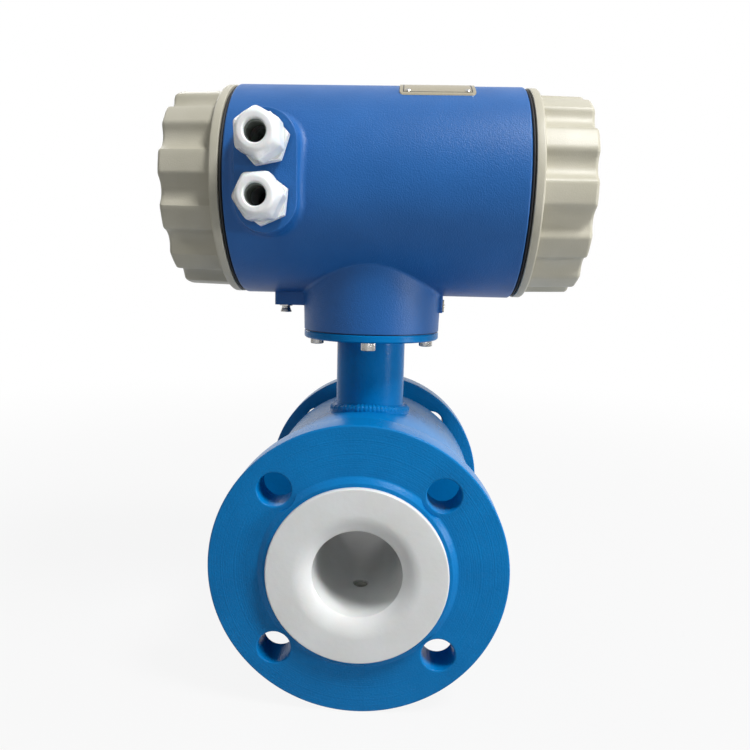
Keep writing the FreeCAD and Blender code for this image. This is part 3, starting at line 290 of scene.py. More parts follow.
# ---- liner --------------------------------------------------------------------------------
# One sleeve of white fluoroplastic, heated and flared over both raised faces. It is waxy, a
# little translucent and faintly uneven. Each mouth is a shallow curve that ends in an edge.
liner_white = finish("fluoroplastic", (222, 224, 224), (215, 216, 214), (0.18, 0.30),
                     (350.0, 0.00008), 30.0, waxy=0.10)


def outline(points, steps=8):
    """A closed outline of (along, radius) points. A third number rounds that corner off."""
    drawn = []
    for index, point in enumerate(points):
        corner = Vector(point[:2])
        if len(point) < 3:
            drawn.append(corner)
            continue
        before = (Vector(points[index - 1][:2]) - corner).normalized()
        after = (Vector(points[(index + 1) % len(points)][:2]) - corner).normalized()
        half_angle = before.angle(after) / 2
        reach = point[2] / math.tan(half_angle)
        middle = corner + (before + after).normalized() * (point[2] / math.sin(half_angle))
        start = corner + before * reach - middle
        end = corner + after * reach - middle
        sweep = start.angle_signed(end)
        for step in range(steps + 1):
            angle = -sweep * step / steps
            drawn.append(middle + Vector((start.x * math.cos(angle) - start.y * math.sin(angle),
                                          start.x * math.sin(angle) + start.y * math.cos(angle))))
    return drawn


def lathe(points, along, across, centre=(0, 0, 0), segments=128, steps=8, shape=None):
    """Turn an outline about an axis. Lengths are millimetres; the mesh is in metres. A shape
    gives the radius at a place along the axis, for the outline's radius and an angle."""
    along, across, centre = Vector(along), Vector(across), Vector(centre)
    other = along.cross(across)
    made = bmesh.new()
    rings = []
    for point in outline(points, steps):
        if point.y < 1e-6:
            rings.append([made.verts.new((centre + along * point.x) / 1000)])
            continue
        ring = []
        for k in range(segments):
            angle = 2 * math.pi * k / segments
            spoke = across * math.cos(angle) + other * math.sin(angle)
            radius = shape(point.x, point.y, angle) if shape else point.y
            ring.append(made.verts.new((centre + along * point.x + spoke * radius) / 1000))
        rings.append(ring)
    for first, second in zip(rings, rings[1:] + rings[:1]):
        if len(first) == 1 and len(second) == 1:
            continue
        for k in range(segments):
            corners = []
            for ring, spot in ((first, k), (first, k + 1), (second, k + 1), (second, k)):
                vertex = ring[spot % len(ring)]
                if vertex not in corners:
                    corners.append(vertex)
            made.faces.new(corners)
    bmesh.ops.remove_doubles(made, verts=made.verts, dist=1e-7)
    bmesh.ops.recalc_face_normals(made, faces=made.faces)
    return made


def smooth_but_for_edges(made, limit=math.radians(32)):
    for face in made.faces:
        face.smooth = True
    for edge in made.edges:
        edge.smooth = len(edge.link_faces) == 2 and edge.calc_face_angle(0) < limit


def piece(name, made, material, body, slot_name, *stands_for):
    """Link a finished mesh, give it its finish, and put it on its body."""
    smooth_but_for_edges(made)
    mesh = bpy.data.meshes.new(name)
    made.to_mesh(mesh)
    made.free()
    mesh.materials.append(material)
    holder = bpy.data.objects.new(name, mesh)
    bpy.context.scene.collection.objects.link(holder)
    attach(holder, body)
    if stands_for:
        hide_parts(*stands_for)
    return holder


LINER_FACE, BORE, LINER_WALL, FLARE, MOUTH = 100.0, 24.0, 3.0, 48.2, 13.0
MOUTH_REACH, MOUTH_DEPTH, MOUTH_STEPS, MOUTH_EDGE = 10.5, 4.4, 14, 0.25
FLARE_ROUND, BACK_ROUND = 0.9, 0.4
POCKET, POCKET_START, POCKET_FLOOR, STEM, STEM_END = 4.6, 15.0, 26.0, 2.5, 28.5
GROUND_PIN_Y = -57.0
liner_back = LINER_FACE - LINER_WALL
mouth_r = (MOUTH_REACH ** 2 + MOUTH_DEPTH ** 2) / (2 * MOUTH_DEPTH)
back_bend = MOUTH - LINER_WALL
mouth = []
for step in range(MOUTH_STEPS + 1):
    inward = MOUTH_REACH * (1 - step / MOUTH_STEPS)
    rise = math.sqrt(mouth_r ** 2 - (MOUTH_REACH - inward) ** 2)
    mouth.append((LINER_FACE - mouth_r + rise, BORE + inward))
mouth[-1] = (*mouth[-1], MOUTH_EDGE)
inlet_mouth = [(-along, *rest) for along, *rest in mouth]
sleeve = lathe(inlet_mouth + mouth[::-1]
               + [(LINER_FACE, FLARE, FLARE_ROUND), (liner_back, FLARE, BACK_ROUND),
                  (liner_back, BORE + LINER_WALL, back_bend), (-liner_back, BORE + LINER_WALL, back_bend),
                  (-liner_back, FLARE, BACK_ROUND), (-LINER_FACE, FLARE, FLARE_ROUND)],
               (0, 1, 0), (0, 0, 1), segments=160, steps=12)


def carve(made, cutters):
    """Cut shapes out of a mesh with the exact boolean, and give the result back."""
    holders = []
    for label, shape in [("body", made)] + [("cutter", cutter) for cutter in cutters]:
        mesh = bpy.data.meshes.new(label)
        shape.to_mesh(mesh)
        shape.free()
        holder = bpy.data.objects.new(label, mesh)
        bpy.context.scene.collection.objects.link(holder)
        holders.append(holder)
    body = holders[0]
    for cutter in holders[1:]:
        cut = body.modifiers.new("cut", "BOOLEAN")
        cut.operation = "DIFFERENCE"
        cut.solver = "EXACT"
        cut.object = cutter
    graph = bpy.context.evaluated_depsgraph_get()
    result = bmesh.new()
    result.from_object(body, graph)
    for holder in holders:
        mesh = holder.data
        bpy.data.objects.remove(holder)
        bpy.data.meshes.remove(mesh)
    return result


pockets = []
for out, place in (((-1, 0, 0), (0, 0, 0)), ((1, 0, 0), (0, 0, 0)), ((0, 0, -1), (0, GROUND_PIN_Y, 0))):
    pockets.append(lathe([(POCKET_START, 0), (POCKET_START, POCKET), (POCKET_FLOOR, POCKET),
                          (POCKET_FLOOR, STEM), (STEM_END, STEM), (STEM_END, 0)],
                         out, (0, 1, 0), place, segments=40))
piece("flared_liner", carve(sleeve, pockets), liner_white, "meter", "liner_plastic", "liner")


# ---- electrodes ---------------------------------------------------------------------------
# Turned stainless pins sealed in the liner's pockets, two for the signal and one to ground.
# Bushes insulate the signal pair, and cup springs and nuts hold all three from outside.
turned_steel = finish("turned stainless", (168, 168, 160), (140, 141, 132), (0.22, 0.36),
                      (2200.0, 0.00003), 200.0, metal=1.0)
bush_plastic = finish("bush plastic", (205, 196, 168), (192, 182, 154), (0.35, 0.5), (1200.0, 0.00005))
dress(turned_steel, "electrode_left", "electrode_right", "ground_electrode", "electrode_springs",
      "electrode_nuts")
dress(bush_plastic, "electrode_bushes")


# ---- field coils, cores and yoke ----------------------------------------------------------
# Saddle coils of enamelled copper wire either side of the tube, on soft iron cores, inside a
# rolled iron yoke that carries the field back.
copper_winding = finish("enamelled copper winding", (176, 92, 40), (138, 62, 26), (0.25, 0.4),
                        (2600.0, 0.0002), 300.0, metal=0.6)
soft_iron = finish("soft iron", (104, 103, 101), (82, 80, 78), (0.42, 0.6), (900.0, 0.0001), 60.0,
                   metal=0.9)
dress(copper_winding, "upper_coil", "lower_coil")
dress(soft_iron, "upper_core", "lower_core", "field_yoke")


# ---- sensor: flanges, shell and end plates ------------------------------------------------
# Machined and welded steel, sprayed sky blue with a smooth enamel that shows the turning marks
# of the flange faces through it.
dress(shell_enamel, "sensor_shell", "inlet_shell_end", "outlet_shell_end")

flange_enamel = finish("sky-blue enamel on turned steel", enamel_blue, enamel_shade, (0.20, 0.32),
                       (900.0, 0.00014), 40.0, shine=0.12)


def add_turning_marks(material, pitch, depth):
    """Rings about the pipe's axis under a paint, as a lathe leaves them on a face."""
    tree = material.node_tree
    link = tree.links.new
    place = tree.nodes["Texture Coordinate"]
    parts = tree.nodes.new("ShaderNodeSeparateXYZ")
    link(place.outputs["Object"], parts.inputs[0])
    flat = tree.nodes.new("ShaderNodeCombineXYZ")
    link(parts.outputs["X"], flat.inputs["X"])
    link(parts.outputs["Z"], flat.inputs["Z"])
    length = tree.nodes.new("ShaderNodeVectorMath")
    length.operation = "LENGTH"
    link(flat.outputs[0], length.inputs[0])
    rings = tree.nodes.new("ShaderNodeTexNoise")
    rings.noise_dimensions = "1D"
    rings.inputs["Scale"].default_value = 1 / pitch
    rings.inputs["Detail"].default_value = 4.0
    link(length.outputs["Value"], rings.inputs["W"])
    bump = tree.nodes.new("ShaderNodeBump")
    bump.inputs["Strength"].default_value = 1.0
    bump.inputs["Distance"].default_value = depth
    link(rings.outputs["Fac"], bump.inputs["Height"])
    link(tree.nodes["skin"].outputs["Normal"], bump.inputs["Normal"])
    link(bump.outputs["Normal"], tree.nodes["Principled BSDF"].inputs["Normal"])


MARK_PITCH, MARK_DEPTH = 0.0009, 0.00012
add_turning_marks(flange_enamel, MARK_PITCH, MARK_DEPTH)
FACE, BACK, RIM, RIM_ROUND = 94.5, 75.5, 80.0, 1.1
RAISED_TOP, RAISED_FOOT_R, RAISED_R, FOOT_ROUND, TOP_ROUND = 97.0, 53.0, 50.0, 1.8, 0.8
TUBE_OUT, TUBE_IN, TUBE_END, BACK_WELD = 30.15, 27.0, 84.5, 4.0
HOLE, HOLE_ROUND, BOLT_CIRCLE, BOLTS = 9.0, 0.9, 125.0, 4
CUT_WIDER, CUT_PAST = 3.0, 2.0
for flange_name, side in (("inlet", -1), ("outlet", 1)):
    disc = lathe([(BACK, TUBE_OUT + BACK_WELD), (BACK, RIM, RIM_ROUND), (FACE, RIM, RIM_ROUND),
                  (FACE, RAISED_FOOT_R, FOOT_ROUND), (RAISED_TOP, RAISED_R, TOP_ROUND),
                  (RAISED_TOP, TUBE_IN, back_bend), (TUBE_END, TUBE_IN), (TUBE_END, TUBE_OUT),
                  (BACK - BACK_WELD, TUBE_OUT)], (0, side, 0), (0, 0, 1), segments=192)
    wide = HOLE + CUT_WIDER
    holes = []
    for k in range(BOLTS):
        angle = math.radians(45 + 90 * k)
        spot = (BOLT_CIRCLE / 2 * math.cos(angle), 0, BOLT_CIRCLE / 2 * math.sin(angle))
        holes.append(lathe([(BACK - CUT_PAST, 0), (BACK - CUT_PAST, wide), (BACK, wide),
                            (BACK, HOLE, HOLE_ROUND), (FACE, HOLE, HOLE_ROUND), (FACE, wide),
                            (FACE + CUT_PAST, wide), (FACE + CUT_PAST, 0)],
                           (0, side, 0), (0, 0, 1), spot, segments=64, steps=6))
    piece(flange_name + "_drilled_flange", carve(disc, holes), flange_enamel, "meter", "sensor_enamel",
          flange_name + "_flange")


# ---- neck ---------------------------------------------------------------------------------
# A steel tube joined to the shell by a weld of even beads, with a plate on top. Four knurled cap
# screws come up through the plate into the housing, over a rubber gasket whose edge is painted
# over, and the wires are potted where they pass.
dress(shell_enamel, "neck_tube", "neck_plate")
rubber = finish("black rubber", (26, 26, 27), (18, 18, 19), (0.5, 0.7), (1500.0, 0.0001), 120.0)
potting = finish("potting compound", (30, 29, 30), (22, 21, 22), (0.2, 0.35), (300.0, 0.0001))
plated_steel = finish("bright plated steel", (196, 194, 190), (168, 166, 162), (0.18, 0.34),
                      (2400.0, 0.00004), 260.0, metal=1.0)
painted_gasket = finish("gasket under paint", (6, 58, 104), (4, 46, 86), (0.4, 0.55),
                        (900.0, 0.0001), 120.0, shine=0.2)
dress(painted_gasket, "neck_gasket")
dress(potting, "neck_potting")


def round_set():
    """Geometry nodes that set a shape round a circle, on the flat or lifted over a drum."""
    tree = bpy.data.node_groups.new("set round a circle", "GeometryNodeTree")
    for name, kind in (("Geometry", "Geometry"), ("Count", "Int"), ("Radius", "Float"),
                       ("First Angle", "Float"), ("Centre", "Vector"), ("Turn", "Vector"),
                       ("Drum Radius", "Float"), ("Unevenness", "Float"), ("Seed", "Int"),
                       ("Material", "Material")):
        tree.interface.new_socket(name=name, in_out="INPUT", socket_type="NodeSocket" + kind)
    tree.interface.new_socket(name="Geometry", in_out="OUTPUT", socket_type="NodeSocketGeometry")
    into = tree.nodes.new("NodeGroupInput").outputs
    link = tree.links.new
    index = tree.nodes.new("GeometryNodeInputIndex").outputs[0]
    share = maths(tree, "DIVIDE", maths(tree, "MULTIPLY", index, 2 * math.pi), into["Count"])
    angle = maths(tree, "ADD", share, into["First Angle"])
    x = maths(tree, "MULTIPLY", maths(tree, "COSINE", angle), into["Radius"])
    y = maths(tree, "MULTIPLY", maths(tree, "SINE", angle), into["Radius"])
    drum = maths(tree, "MULTIPLY", into["Drum Radius"], into["Drum Radius"])
    above = maths(tree, "SUBTRACT", drum, maths(tree, "MULTIPLY", x, x))
    height = maths(tree, "SQRT", maths(tree, "MAXIMUM", above, 0.0))
    spot = tree.nodes.new("ShaderNodeCombineXYZ")
    for socket, value in zip(spot.inputs, (x, y, height)):
        link(value, socket)
    points = tree.nodes.new("GeometryNodePoints")
    link(into["Count"], points.inputs["Count"])
    link(spot.outputs[0], points.inputs["Position"])
    facing = tree.nodes.new("ShaderNodeCombineXYZ")
    link(angle, facing.inputs["Z"])
    size = tree.nodes.new("FunctionNodeRandomValue")
    size.data_type = "FLOAT"
    link(maths(tree, "SUBTRACT", 1.0, into["Unevenness"]), size.inputs[2])
    link(maths(tree, "ADD", 1.0, into["Unevenness"]), size.inputs[3])
    link(into["Seed"], size.inputs["Seed"])
    placed = tree.nodes.new("GeometryNodeInstanceOnPoints")
    link(points.outputs[0], placed.inputs["Points"])
    link(into["Geometry"], placed.inputs["Instance"])
    link(size.outputs[1], placed.inputs["Scale"])
    moved = tree.nodes.new("GeometryNodeTransform")
    for vector, socket in ((facing.outputs[0], placed.inputs["Rotation"]),
                           (into["Turn"], moved.inputs["Rotation"])):
        turned = tree.nodes.new("FunctionNodeEulerToRotation")
        link(vector, turned.inputs[0])
        link(turned.outputs[0], socket)
    link(placed.outputs[0], moved.inputs["Geometry"])
    link(into["Centre"], moved.inputs["Translation"])
    real = tree.nodes.new("GeometryNodeRealizeInstances")
    link(moved.outputs[0], real.inputs[0])
    painted = tree.nodes.new("GeometryNodeSetMaterial")
    link(real.outputs[0], painted.inputs["Geometry"])
    link(into["Material"], painted.inputs["Material"])
    out = tree.nodes.new("NodeGroupOutput")
    link(painted.outputs[0], out.inputs["Geometry"])
    return tree


ROUND_SET = round_set()


def set_round(made, material, count, radius, **settings):
    """Run the tree on a mesh and give the finished mesh back. Radii are millimetres."""
    values = {"Count": count, "Radius": radius / 1000, "First Angle": 0.0, "Centre": (0.0, 0.0, 0.0),
              "Turn": (0.0, 0.0, 0.0), "Drum Radius": 0.0, "Unevenness": 0.0, "Seed": 7, "Material": material}
    values.update(settings)
    mesh = bpy.data.meshes.new("one of a set")
    made.to_mesh(mesh)
    made.free()
    holder = bpy.data.objects.new("one of a set", mesh)
    bpy.context.scene.collection.objects.link(holder)
    setter = holder.modifiers.new("set", "NODES")
    setter.node_group = ROUND_SET
    for item in ROUND_SET.interface.items_tree:
        if item.in_out == "INPUT" and item.name in values:
            setter[item.identifier] = values[item.name]
    graph = bpy.context.evaluated_depsgraph_get()
    settled = bpy.data.meshes.new_from_object(holder.evaluated_get(graph))
    result = bmesh.new()
    result.from_mesh(settled)
    bpy.data.objects.remove(holder)
    bpy.data.meshes.remove(mesh)
    bpy.data.meshes.remove(settled)
    for face in result.faces:
        face.material_index = 0
    return result


def joined(*parts):
    """Put several meshes into the first."""
    whole = parts[0]
    for part in parts[1:]:
        mesh = bpy.data.meshes.new("joined")
        part.to_mesh(mesh)
        part.free()
        whole.from_mesh(mesh)
        bpy.data.meshes.remove(mesh)
    return whole


PLATE_FOOT, SCREW_CIRCLE, SCREWS = 116.5, 35.0, 4
HEAD_HEIGHT, HEAD_R, HEAD_ROUND, SHANK_R, SHANK = 5.0, 3.9, 0.5, 2.5, 15.0
SOCKET_R, SOCKET_DEPTH = 2.31, 2.5
KNURLS, KNURL_R, KNURL_START, KNURL_TAPER, KNURL_END = 28, 0.35, 0.3, 0.6, 0.2
under_plate = (0, 0, PLATE_FOOT)
down, across = (0, 0, -1), (1, 0, 0)
head = lathe([(HEAD_HEIGHT, 0), (HEAD_HEIGHT, HEAD_R, HEAD_ROUND), (0, HEAD_R), (0, SHANK_R),
              (-SHANK, SHANK_R, HEAD_ROUND), (-SHANK, 0)], down, across, under_plate, segments=56)
socket = lathe([(HEAD_HEIGHT + 1, 0), (HEAD_HEIGHT + 1, SOCKET_R), (HEAD_HEIGHT - SOCKET_DEPTH, SOCKET_R),
                (HEAD_HEIGHT - SOCKET_DEPTH, 0)], down, across, under_plate, segments=6)
knurl = lathe([(KNURL_START, 0), (KNURL_START, KNURL_R), (HEAD_HEIGHT - KNURL_TAPER, KNURL_R),
               (HEAD_HEIGHT - KNURL_END, KNURL_R / 2), (HEAD_HEIGHT - KNURL_END, 0)],
              down, across, under_plate, segments=6)
screw = joined(carve(head, [socket]), set_round(knurl, plated_steel, KNURLS, HEAD_R))
screws = set_round(screw, plated_steel, SCREWS, SCREW_CIRCLE, **{"First Angle": math.pi / 2})
piece("neck_cap_screws", screws, plated_steel, "meter", "screw_steel", "neck_screws")

SHELL_R, NECK_R = 72.5, 21.7
BEADS, BEAD_SIZE, BEAD_LIFT, BEAD_UNEVENNESS = 62, (3.4, 2.6, 3.4), 0.9, 0.09
bead = bmesh.new()
bmesh.ops.create_icosphere(bead, subdivisions=2, radius=0.001)
bmesh.ops.transform(bead, matrix=Matrix.Diagonal((*BEAD_SIZE, 1)), verts=bead.verts)
weld = set_round(bead, shell_enamel, BEADS, NECK_R + BEAD_LIFT, Unevenness=BEAD_UNEVENNESS,
                 **{"Drum Radius": (SHELL_R + BEAD_LIFT) / 1000})
piece("neck_weld", weld, shell_enamel, "meter", "sensor_enamel")


# ---- converter housing --------------------------------------------------------------------
# An aluminium casting: a barrel with a chamber at each end, a saddle down to the neck and a pad
# for the cable glands. It is powder coated royal blue, with a fine even texture.
powder_coat = finish("royal-blue powder coat", (30, 93, 160), (26, 88, 153), (0.36, 0.48),
                     (1300.0, 0.00020), 35.0, shine=0.30)
dress(powder_coat, "converter_housing")


# ---- end covers ---------------------------------------------------------------------------
# Aluminium castings that screw into the housing, scalloped for the hand and painted a warm
# silver grey. A rubber ring is squeezed under each. The display cover holds a glass window behind
# a turned ring, and the blind one has two tabs on its end for a key.
cover_paint = finish("warm silver-grey paint", (184, 180, 164), (177, 173, 156), (0.34, 0.46),
                     (1500.0, 0.00010), 40.0, shine=0.35)
HOUSING_ENDS = {"terminal": -79.2, "display": 85.4}
HOUSING_AXIS_Z = 205.8
SEAT, RING_TOP, COVER_END, RING_R = 2.5, 7.5, 37.0, 61.5
RING_FOOT_ROUND, RING_ROUND, GRIP_FOOT_ROUND, GRIP_END_ROUND = 0.4, 1.2, 0.8, 2.5
LOBE_R, LOBE_END_R, LOBES, LOBE_SHARPNESS = 58.1, 57.4, 12, 70
GROOVE_DEPTH, GROOVE_R = 4.6, 10.0
GROOVE_TURN = {"terminal": 6.5, "display": 10.5}
COVER_TRAVEL, COVER_TURNS = 12.05, 6
THREAD_START, THREAD_STOP, THREAD_RINGS, THREAD_LEAD_IN = -13.5, 0.5, 70, 0.6
THREAD_TOP_R, THREAD_DEPTH, THREAD_PITCH = 56.92, 0.9, COVER_TRAVEL / COVER_TURNS
THREAD_STEEPNESS, THREAD_CREST, THREAD_FADE = 2.6, 0.15, 1.2
COVER_BORE, COVER_FLOOR, FLOOR_CORNER, BLIND_BEND = 50.5, 33.0, 3.0, 4
BLIND_FLAT_R = 46.0
WINDOW, WINDOW_SEAT, WINDOW_STEP, WINDOW_BEVEL = 37.0, 42.0, 20.3, 1.5
INSIDE_WALL = 2.0
TAB_ALONG, TAB_ACROSS, TAB_OUT, TAB_SUNK = 9.0, 5.0, 3.0, 1.0
TAB_OFFSET, TAB_TURN, TAB_BEVEL = 44.0, 20.0, 0.6


def soft_least(sizes, sharpness):
    """The least of some radii, eased where two of them are nearly equal."""
    return sum(size ** -sharpness for size in sizes) ** (-1 / sharpness)


def cover_shape(groove_turn):
    """Threads cut into the spigot, and hand grooves cut into the grip beyond the ring."""
    middle = LOBE_R - GROOVE_DEPTH + GROOVE_R

    def shape(along, radius, angle):
        if THREAD_START < along < THREAD_STOP and radius > COVER_BORE + INSIDE_WALL:
            turn = (along / THREAD_PITCH - angle / (2 * math.pi)) % 1
            slope = min(1.0, max(0.0, abs(turn - 0.5) * THREAD_STEEPNESS - THREAD_CREST))
            ends = min(1.0, (along - THREAD_START) / THREAD_FADE, (THREAD_STOP - along) / THREAD_FADE)
            return radius - THREAD_DEPTH * slope * ends
        in_bore = radius < WINDOW_SEAT + INSIDE_WALL
        in_cover = along < COVER_FLOOR and radius < LOBE_R - INSIDE_WALL
        if along < RING_TOP or in_bore or in_cover:
            return radius
        off = math.radians(groove_turn) - angle
        off = (off + math.pi / LOBES) % (2 * math.pi / LOBES) - math.pi / LOBES
        inside = GROOVE_R ** 2 - (middle * math.sin(off)) ** 2
        if inside <= 0:
            return radius
        groove = middle * math.cos(off) - math.sqrt(inside)
        return radius - LOBE_R + soft_least((LOBE_R, groove), LOBE_SHARPNESS)

    return shape


def cover_outline(window):
    """Once round the section: spigot, seat, ring, grip, end, and back through the bore."""
    ring_step = (THREAD_STOP - THREAD_START) / THREAD_RINGS
    outside = [(THREAD_START, COVER_BORE), (THREAD_START, THREAD_TOP_R - THREAD_LEAD_IN)]
    outside += [(THREAD_START + ring_step * k, THREAD_TOP_R) for k in range(1, THREAD_RINGS + 1)]
    outside += [(SEAT, THREAD_TOP_R), (SEAT, RING_R, RING_FOOT_ROUND), (RING_TOP, RING_R, RING_ROUND),
                (RING_TOP, LOBE_R, GRIP_FOOT_ROUND), (COVER_END, LOBE_END_R, GRIP_END_ROUND)]
    if window:
        return outside + [(COVER_END, WINDOW + WINDOW_BEVEL), (COVER_END - WINDOW_BEVEL, WINDOW),
                          (COVER_FLOOR, WINDOW), (COVER_FLOOR, WINDOW_SEAT),
                          (WINDOW_STEP, WINDOW_SEAT), (WINDOW_STEP, COVER_BORE)]
    return outside + [(COVER_END, BLIND_FLAT_R), (COVER_END, 0), (COVER_FLOOR, 0),
                      (COVER_FLOOR, COVER_BORE - FLOOR_CORNER, BLIND_BEND)]


def rounded_block(size, middle, bevel):
    """A cast block with softened edges, in metres from millimetres."""
    made = bmesh.new()
    bmesh.ops.create_cube(made, size=1.0)
    bmesh.ops.transform(made, matrix=Matrix.Diagonal((*(Vector(size) / 1000), 1)), verts=made.verts)
    bmesh.ops.bevel(made, geom=made.edges, offset=bevel / 1000, segments=4, profile=0.5, affect="EDGES")
    bmesh.ops.translate(made, verts=made.verts, vec=Vector(middle) / 1000)
    return made


for end, window in (("terminal", False), ("display", True)):
    out = 1 if end == "display" else -1
    centre = (HOUSING_ENDS[end], 0, HOUSING_AXIS_Z)
    cover = lathe(cover_outline(window), (out, 0, 0), (0, 0, 1), centre, segments=288, steps=6,
                  shape=cover_shape(90 - GROOVE_TURN[end]))
    if not window:
        turned = Matrix.Rotation(math.radians(TAB_TURN * out), 4, "X")
        tab_x = centre[0] + out * (COVER_END + (TAB_OUT - TAB_SUNK) / 2)
        tabs = []
        for side in (-1, 1):
            tab = rounded_block((TAB_OUT + TAB_SUNK, TAB_ALONG, TAB_ACROSS), (0, 0, side * TAB_OFFSET),
                                TAB_BEVEL)
            bmesh.ops.transform(tab, matrix=turned, verts=tab.verts)
            bmesh.ops.translate(tab, verts=tab.verts, vec=Vector((tab_x, 0, HOUSING_AXIS_Z)) / 1000)
            tabs.append(tab)
        cover = joined(cover, *tabs)
    piece(end + "_scalloped_cover", cover, cover_paint, end + "_cover_cap", "cover_paint", end + "_cover")
dress(rubber, "terminal_cover_seal", "display_cover_seal", "window_gasket")
bright_aluminium = finish("turned aluminium", (190, 188, 180), (172, 170, 162), (0.28, 0.4),
                          (1800.0, 0.00004), 120.0, metal=1.0)
dress(bright_aluminium, "window_ring")

window_clear = bpy.data.materials.new("toughened glass")
window_clear.use_nodes = True
glass_tree = window_clear.node_tree
glass_shader = glass_tree.nodes["Principled BSDF"]
glass_shader.inputs["Base Color"].default_value = (0.93, 0.97, 0.95, 1)
glass_shader.inputs["Transmission Weight"].default_value = 1.0
glass_shader.inputs["IOR"].default_value = 1.5
smear_place = glass_tree.nodes.new("ShaderNodeTexCoord")
smears = glass_tree.nodes.new("ShaderNodeTexNoise")
smears.inputs["Scale"].default_value = 45.0
smear_range = glass_tree.nodes.new("ShaderNodeMapRange")
smear_range.inputs["To Min"].default_value = 0.01
smear_range.inputs["To Max"].default_value = 0.06
glass_tree.links.new(smear_place.outputs["Object"], smears.inputs["Vector"])
glass_tree.links.new(smears.outputs["Fac"], smear_range.inputs["Value"])
glass_tree.links.new(smear_range.outputs["Result"], glass_shader.inputs["Roughness"])
dress(window_clear, "window_glass")


# ---- cable glands -------------------------------------------------------------------------
# Moulded in white nylon: a body screwed into the pad, and a domed cap nut that squeezes a rubber
# insert round the cable. Each nut stands at its own turn, as it was last tightened.
nylon = finish("white nylon", (238, 240, 240), (230, 233, 233), (0.22, 0.34), (700.0, 0.00006), 60.0,
               waxy=0.15)
grey_rubber = finish("grey rubber", (140, 146, 140), (126, 132, 126), (0.5, 0.65), (1500.0, 0.0001),
                     120.0)
dress(nylon, "upper_gland_body", "lower_gland_body")
dress(grey_rubber, "upper_gland_seal", "lower_gland_seal")
dress(rubber, "gland_washers")
NUT_FLATS, NUT_SIDES, NUT_SHARPNESS = 23.0, 6, 60
NUT_FOOT, NUT_FOOT_R, NUT_FOOT_BEVEL, NUT_FOOT_TOP_R = 7.5, 12.2, 0.7, 13.4
NUT_R, NUT_RINGS, NUT_SHOULDER, NUT_SHOULDER_ROUND = 13.45, (10.0, 12.5, 15.0), 18.0, 5.0
NUT_END, NUT_END_R, NUT_END_ROUND, NUT_OPENING, NUT_LIP = 25.0, 9.4, 2.6, 5.7, 0.9
NUT_THREAD_R, NUT_THREAD_END, NUT_CONE_END, NUT_CONE_R = 9.28, 17.0, 21.5, 8.0
GLANDS = {"upper": (223.5, 33.0), "lower": (193.5, 4.0)}
GLAND_X, PAD_FACE_Y = -54.5, -67.0


def nut_shape(turn):
    """Six flats eased into the turned outside of the nut. The bore stays round."""
    def shape(along, radius, angle):
        if radius < NUT_THREAD_R + 0.01:
            return radius
        sizes = [radius]
        for k in range(NUT_SIDES):
            off = angle - turn - 2 * math.pi * (k + 0.5) / NUT_SIDES
            sizes.append(NUT_FLATS / 2 / max(0.05, math.cos(off)))
        return soft_least(sizes, NUT_SHARPNESS)

    return shape


nut_outline = [(NUT_FOOT, NUT_THREAD_R), (NUT_FOOT, NUT_FOOT_R),
               (NUT_FOOT + NUT_FOOT_BEVEL, NUT_FOOT_TOP_R)]
nut_outline += [(ring, NUT_R) for ring in NUT_RINGS]
nut_outline += [(NUT_SHOULDER, NUT_R, NUT_SHOULDER_ROUND), (NUT_END, NUT_END_R, NUT_END_ROUND),
                (NUT_END, NUT_OPENING, NUT_LIP), (NUT_CONE_END, NUT_OPENING),
                (NUT_CONE_END, NUT_CONE_R), (NUT_THREAD_END, NUT_THREAD_R)]
for level, (height, turn) in GLANDS.items():
    nut = lathe(nut_outline, (0, -1, 0), (1, 0, 0), (GLAND_X, PAD_FACE_Y, height), segments=144, steps=10,
                shape=nut_shape(math.radians(turn)))
    piece(level + "_cap_nut", nut, nylon, level + "_gland_cap", "gland_nylon", level + "_gland_nut")


# ---- electronics --------------------------------------------------------------------------
# Round boards on standoffs in the two chambers, screw terminals behind the blind cover, and a
# screen with four keys behind the window.
board_green = finish("green solder mask", (22, 92, 52), (16, 78, 44), (0.22, 0.34), (2000.0, 0.00003),
                     150.0)
terminal_green = finish("terminal plastic", (46, 112, 66), (38, 100, 58), (0.35, 0.48), (900.0, 0.00006))
dark_parts = finish("moulded black parts", (34, 34, 36), (26, 26, 28), (0.35, 0.5), (1200.0, 0.00006))
screen_glass = finish("screen", (126, 142, 116), (118, 134, 108), (0.10, 0.18), (500.0, 0.00001),
                      20.0)
front_plate = finish("grey front plate", (70, 74, 80), (62, 66, 72), (0.4, 0.52), (1400.0, 0.00006))
key_plastic = finish("key plastic", (196, 196, 190), (186, 186, 180), (0.35, 0.48), (1200.0, 0.00005))
dress(board_green, "terminal_board", "power_board", "main_board", "display_board")
dress(terminal_green, "terminal_blocks")
dress(dark_parts, "transformer", "capacitors")
dress(screen_glass, "display_screen")
dress(front_plate, "display_plate")
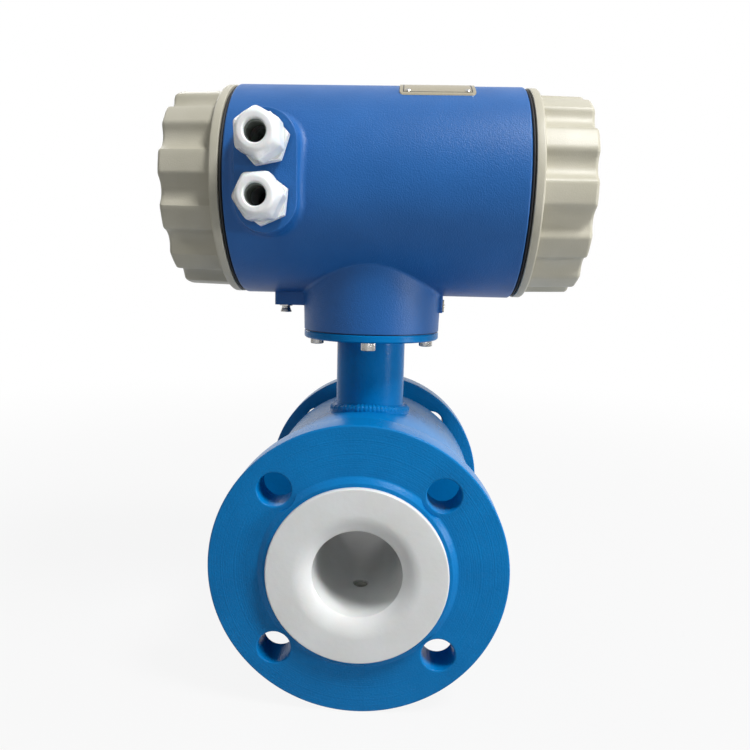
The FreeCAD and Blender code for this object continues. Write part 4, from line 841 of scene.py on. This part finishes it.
dress(key_plastic, "key_1", "key_2", "key_3", "key_4")
dress(plated_steel, "terminal_screws", "board_standoffs", "display_screws")


# ---- nameplate, tag and ground screw ------------------------------------------------------
# Thin bare plates riveted or pinned to the casting, and the outside ground screw under its lug.
# The nameplate has a plain dark line printed round its edge.
plate_metal, rimmed_plate = (
    finish(name, (176, 168, 146), (168, 160, 137), (0.32, 0.40), (2200.0, 0.00003), 900.0, metal=0.8)
    for name in ("brushed plate", "brushed plate with a printed rim"))
dress(plate_metal, "side_tag")
RIM_INK = (58, 56, 50)
PLATE_MIDDLE_X, PLATE_HALF_X, PLATE_HALF_Y = 0.03565, 0.02125, 0.038
RIM_INSET, RIM_LINE = 0.0018, 0.0007
rim_tree = rimmed_plate.node_tree
rim_parts = rim_tree.nodes.new("ShaderNodeSeparateXYZ")
rim_tree.links.new(rim_tree.nodes["Texture Coordinate"].outputs["Object"], rim_parts.inputs[0])
off_x = maths(rim_tree, "ABSOLUTE", maths(rim_tree, "SUBTRACT", rim_parts.outputs["X"], PLATE_MIDDLE_X))
off_y = maths(rim_tree, "ABSOLUTE", rim_parts.outputs["Y"])
inside_edge = maths(rim_tree, "MINIMUM", maths(rim_tree, "SUBTRACT", PLATE_HALF_X, off_x),
                    maths(rim_tree, "SUBTRACT", PLATE_HALF_Y, off_y))
on_rim = maths(rim_tree, "COMPARE", inside_edge, RIM_INSET + RIM_LINE / 2, RIM_LINE / 2)
rim_mix = rim_tree.nodes.new("ShaderNodeMix")
rim_mix.data_type = "RGBA"
rim_tree.links.new(on_rim, rim_mix.inputs["Factor"])
rim_tree.links.new(rim_tree.nodes["skin"].outputs["Colour"], rim_mix.inputs[MIX_FROM])
rim_mix.inputs[MIX_TO].default_value = screen(*RIM_INK)
rim_tree.links.new(rim_mix.outputs[MIX_RESULT], rim_tree.nodes["Principled BSDF"].inputs["Base Color"])
dress(rimmed_plate, "nameplate")
dress(plated_steel, "nameplate_rivets", "side_tag_pins", "ground_washer", "ground_screw")
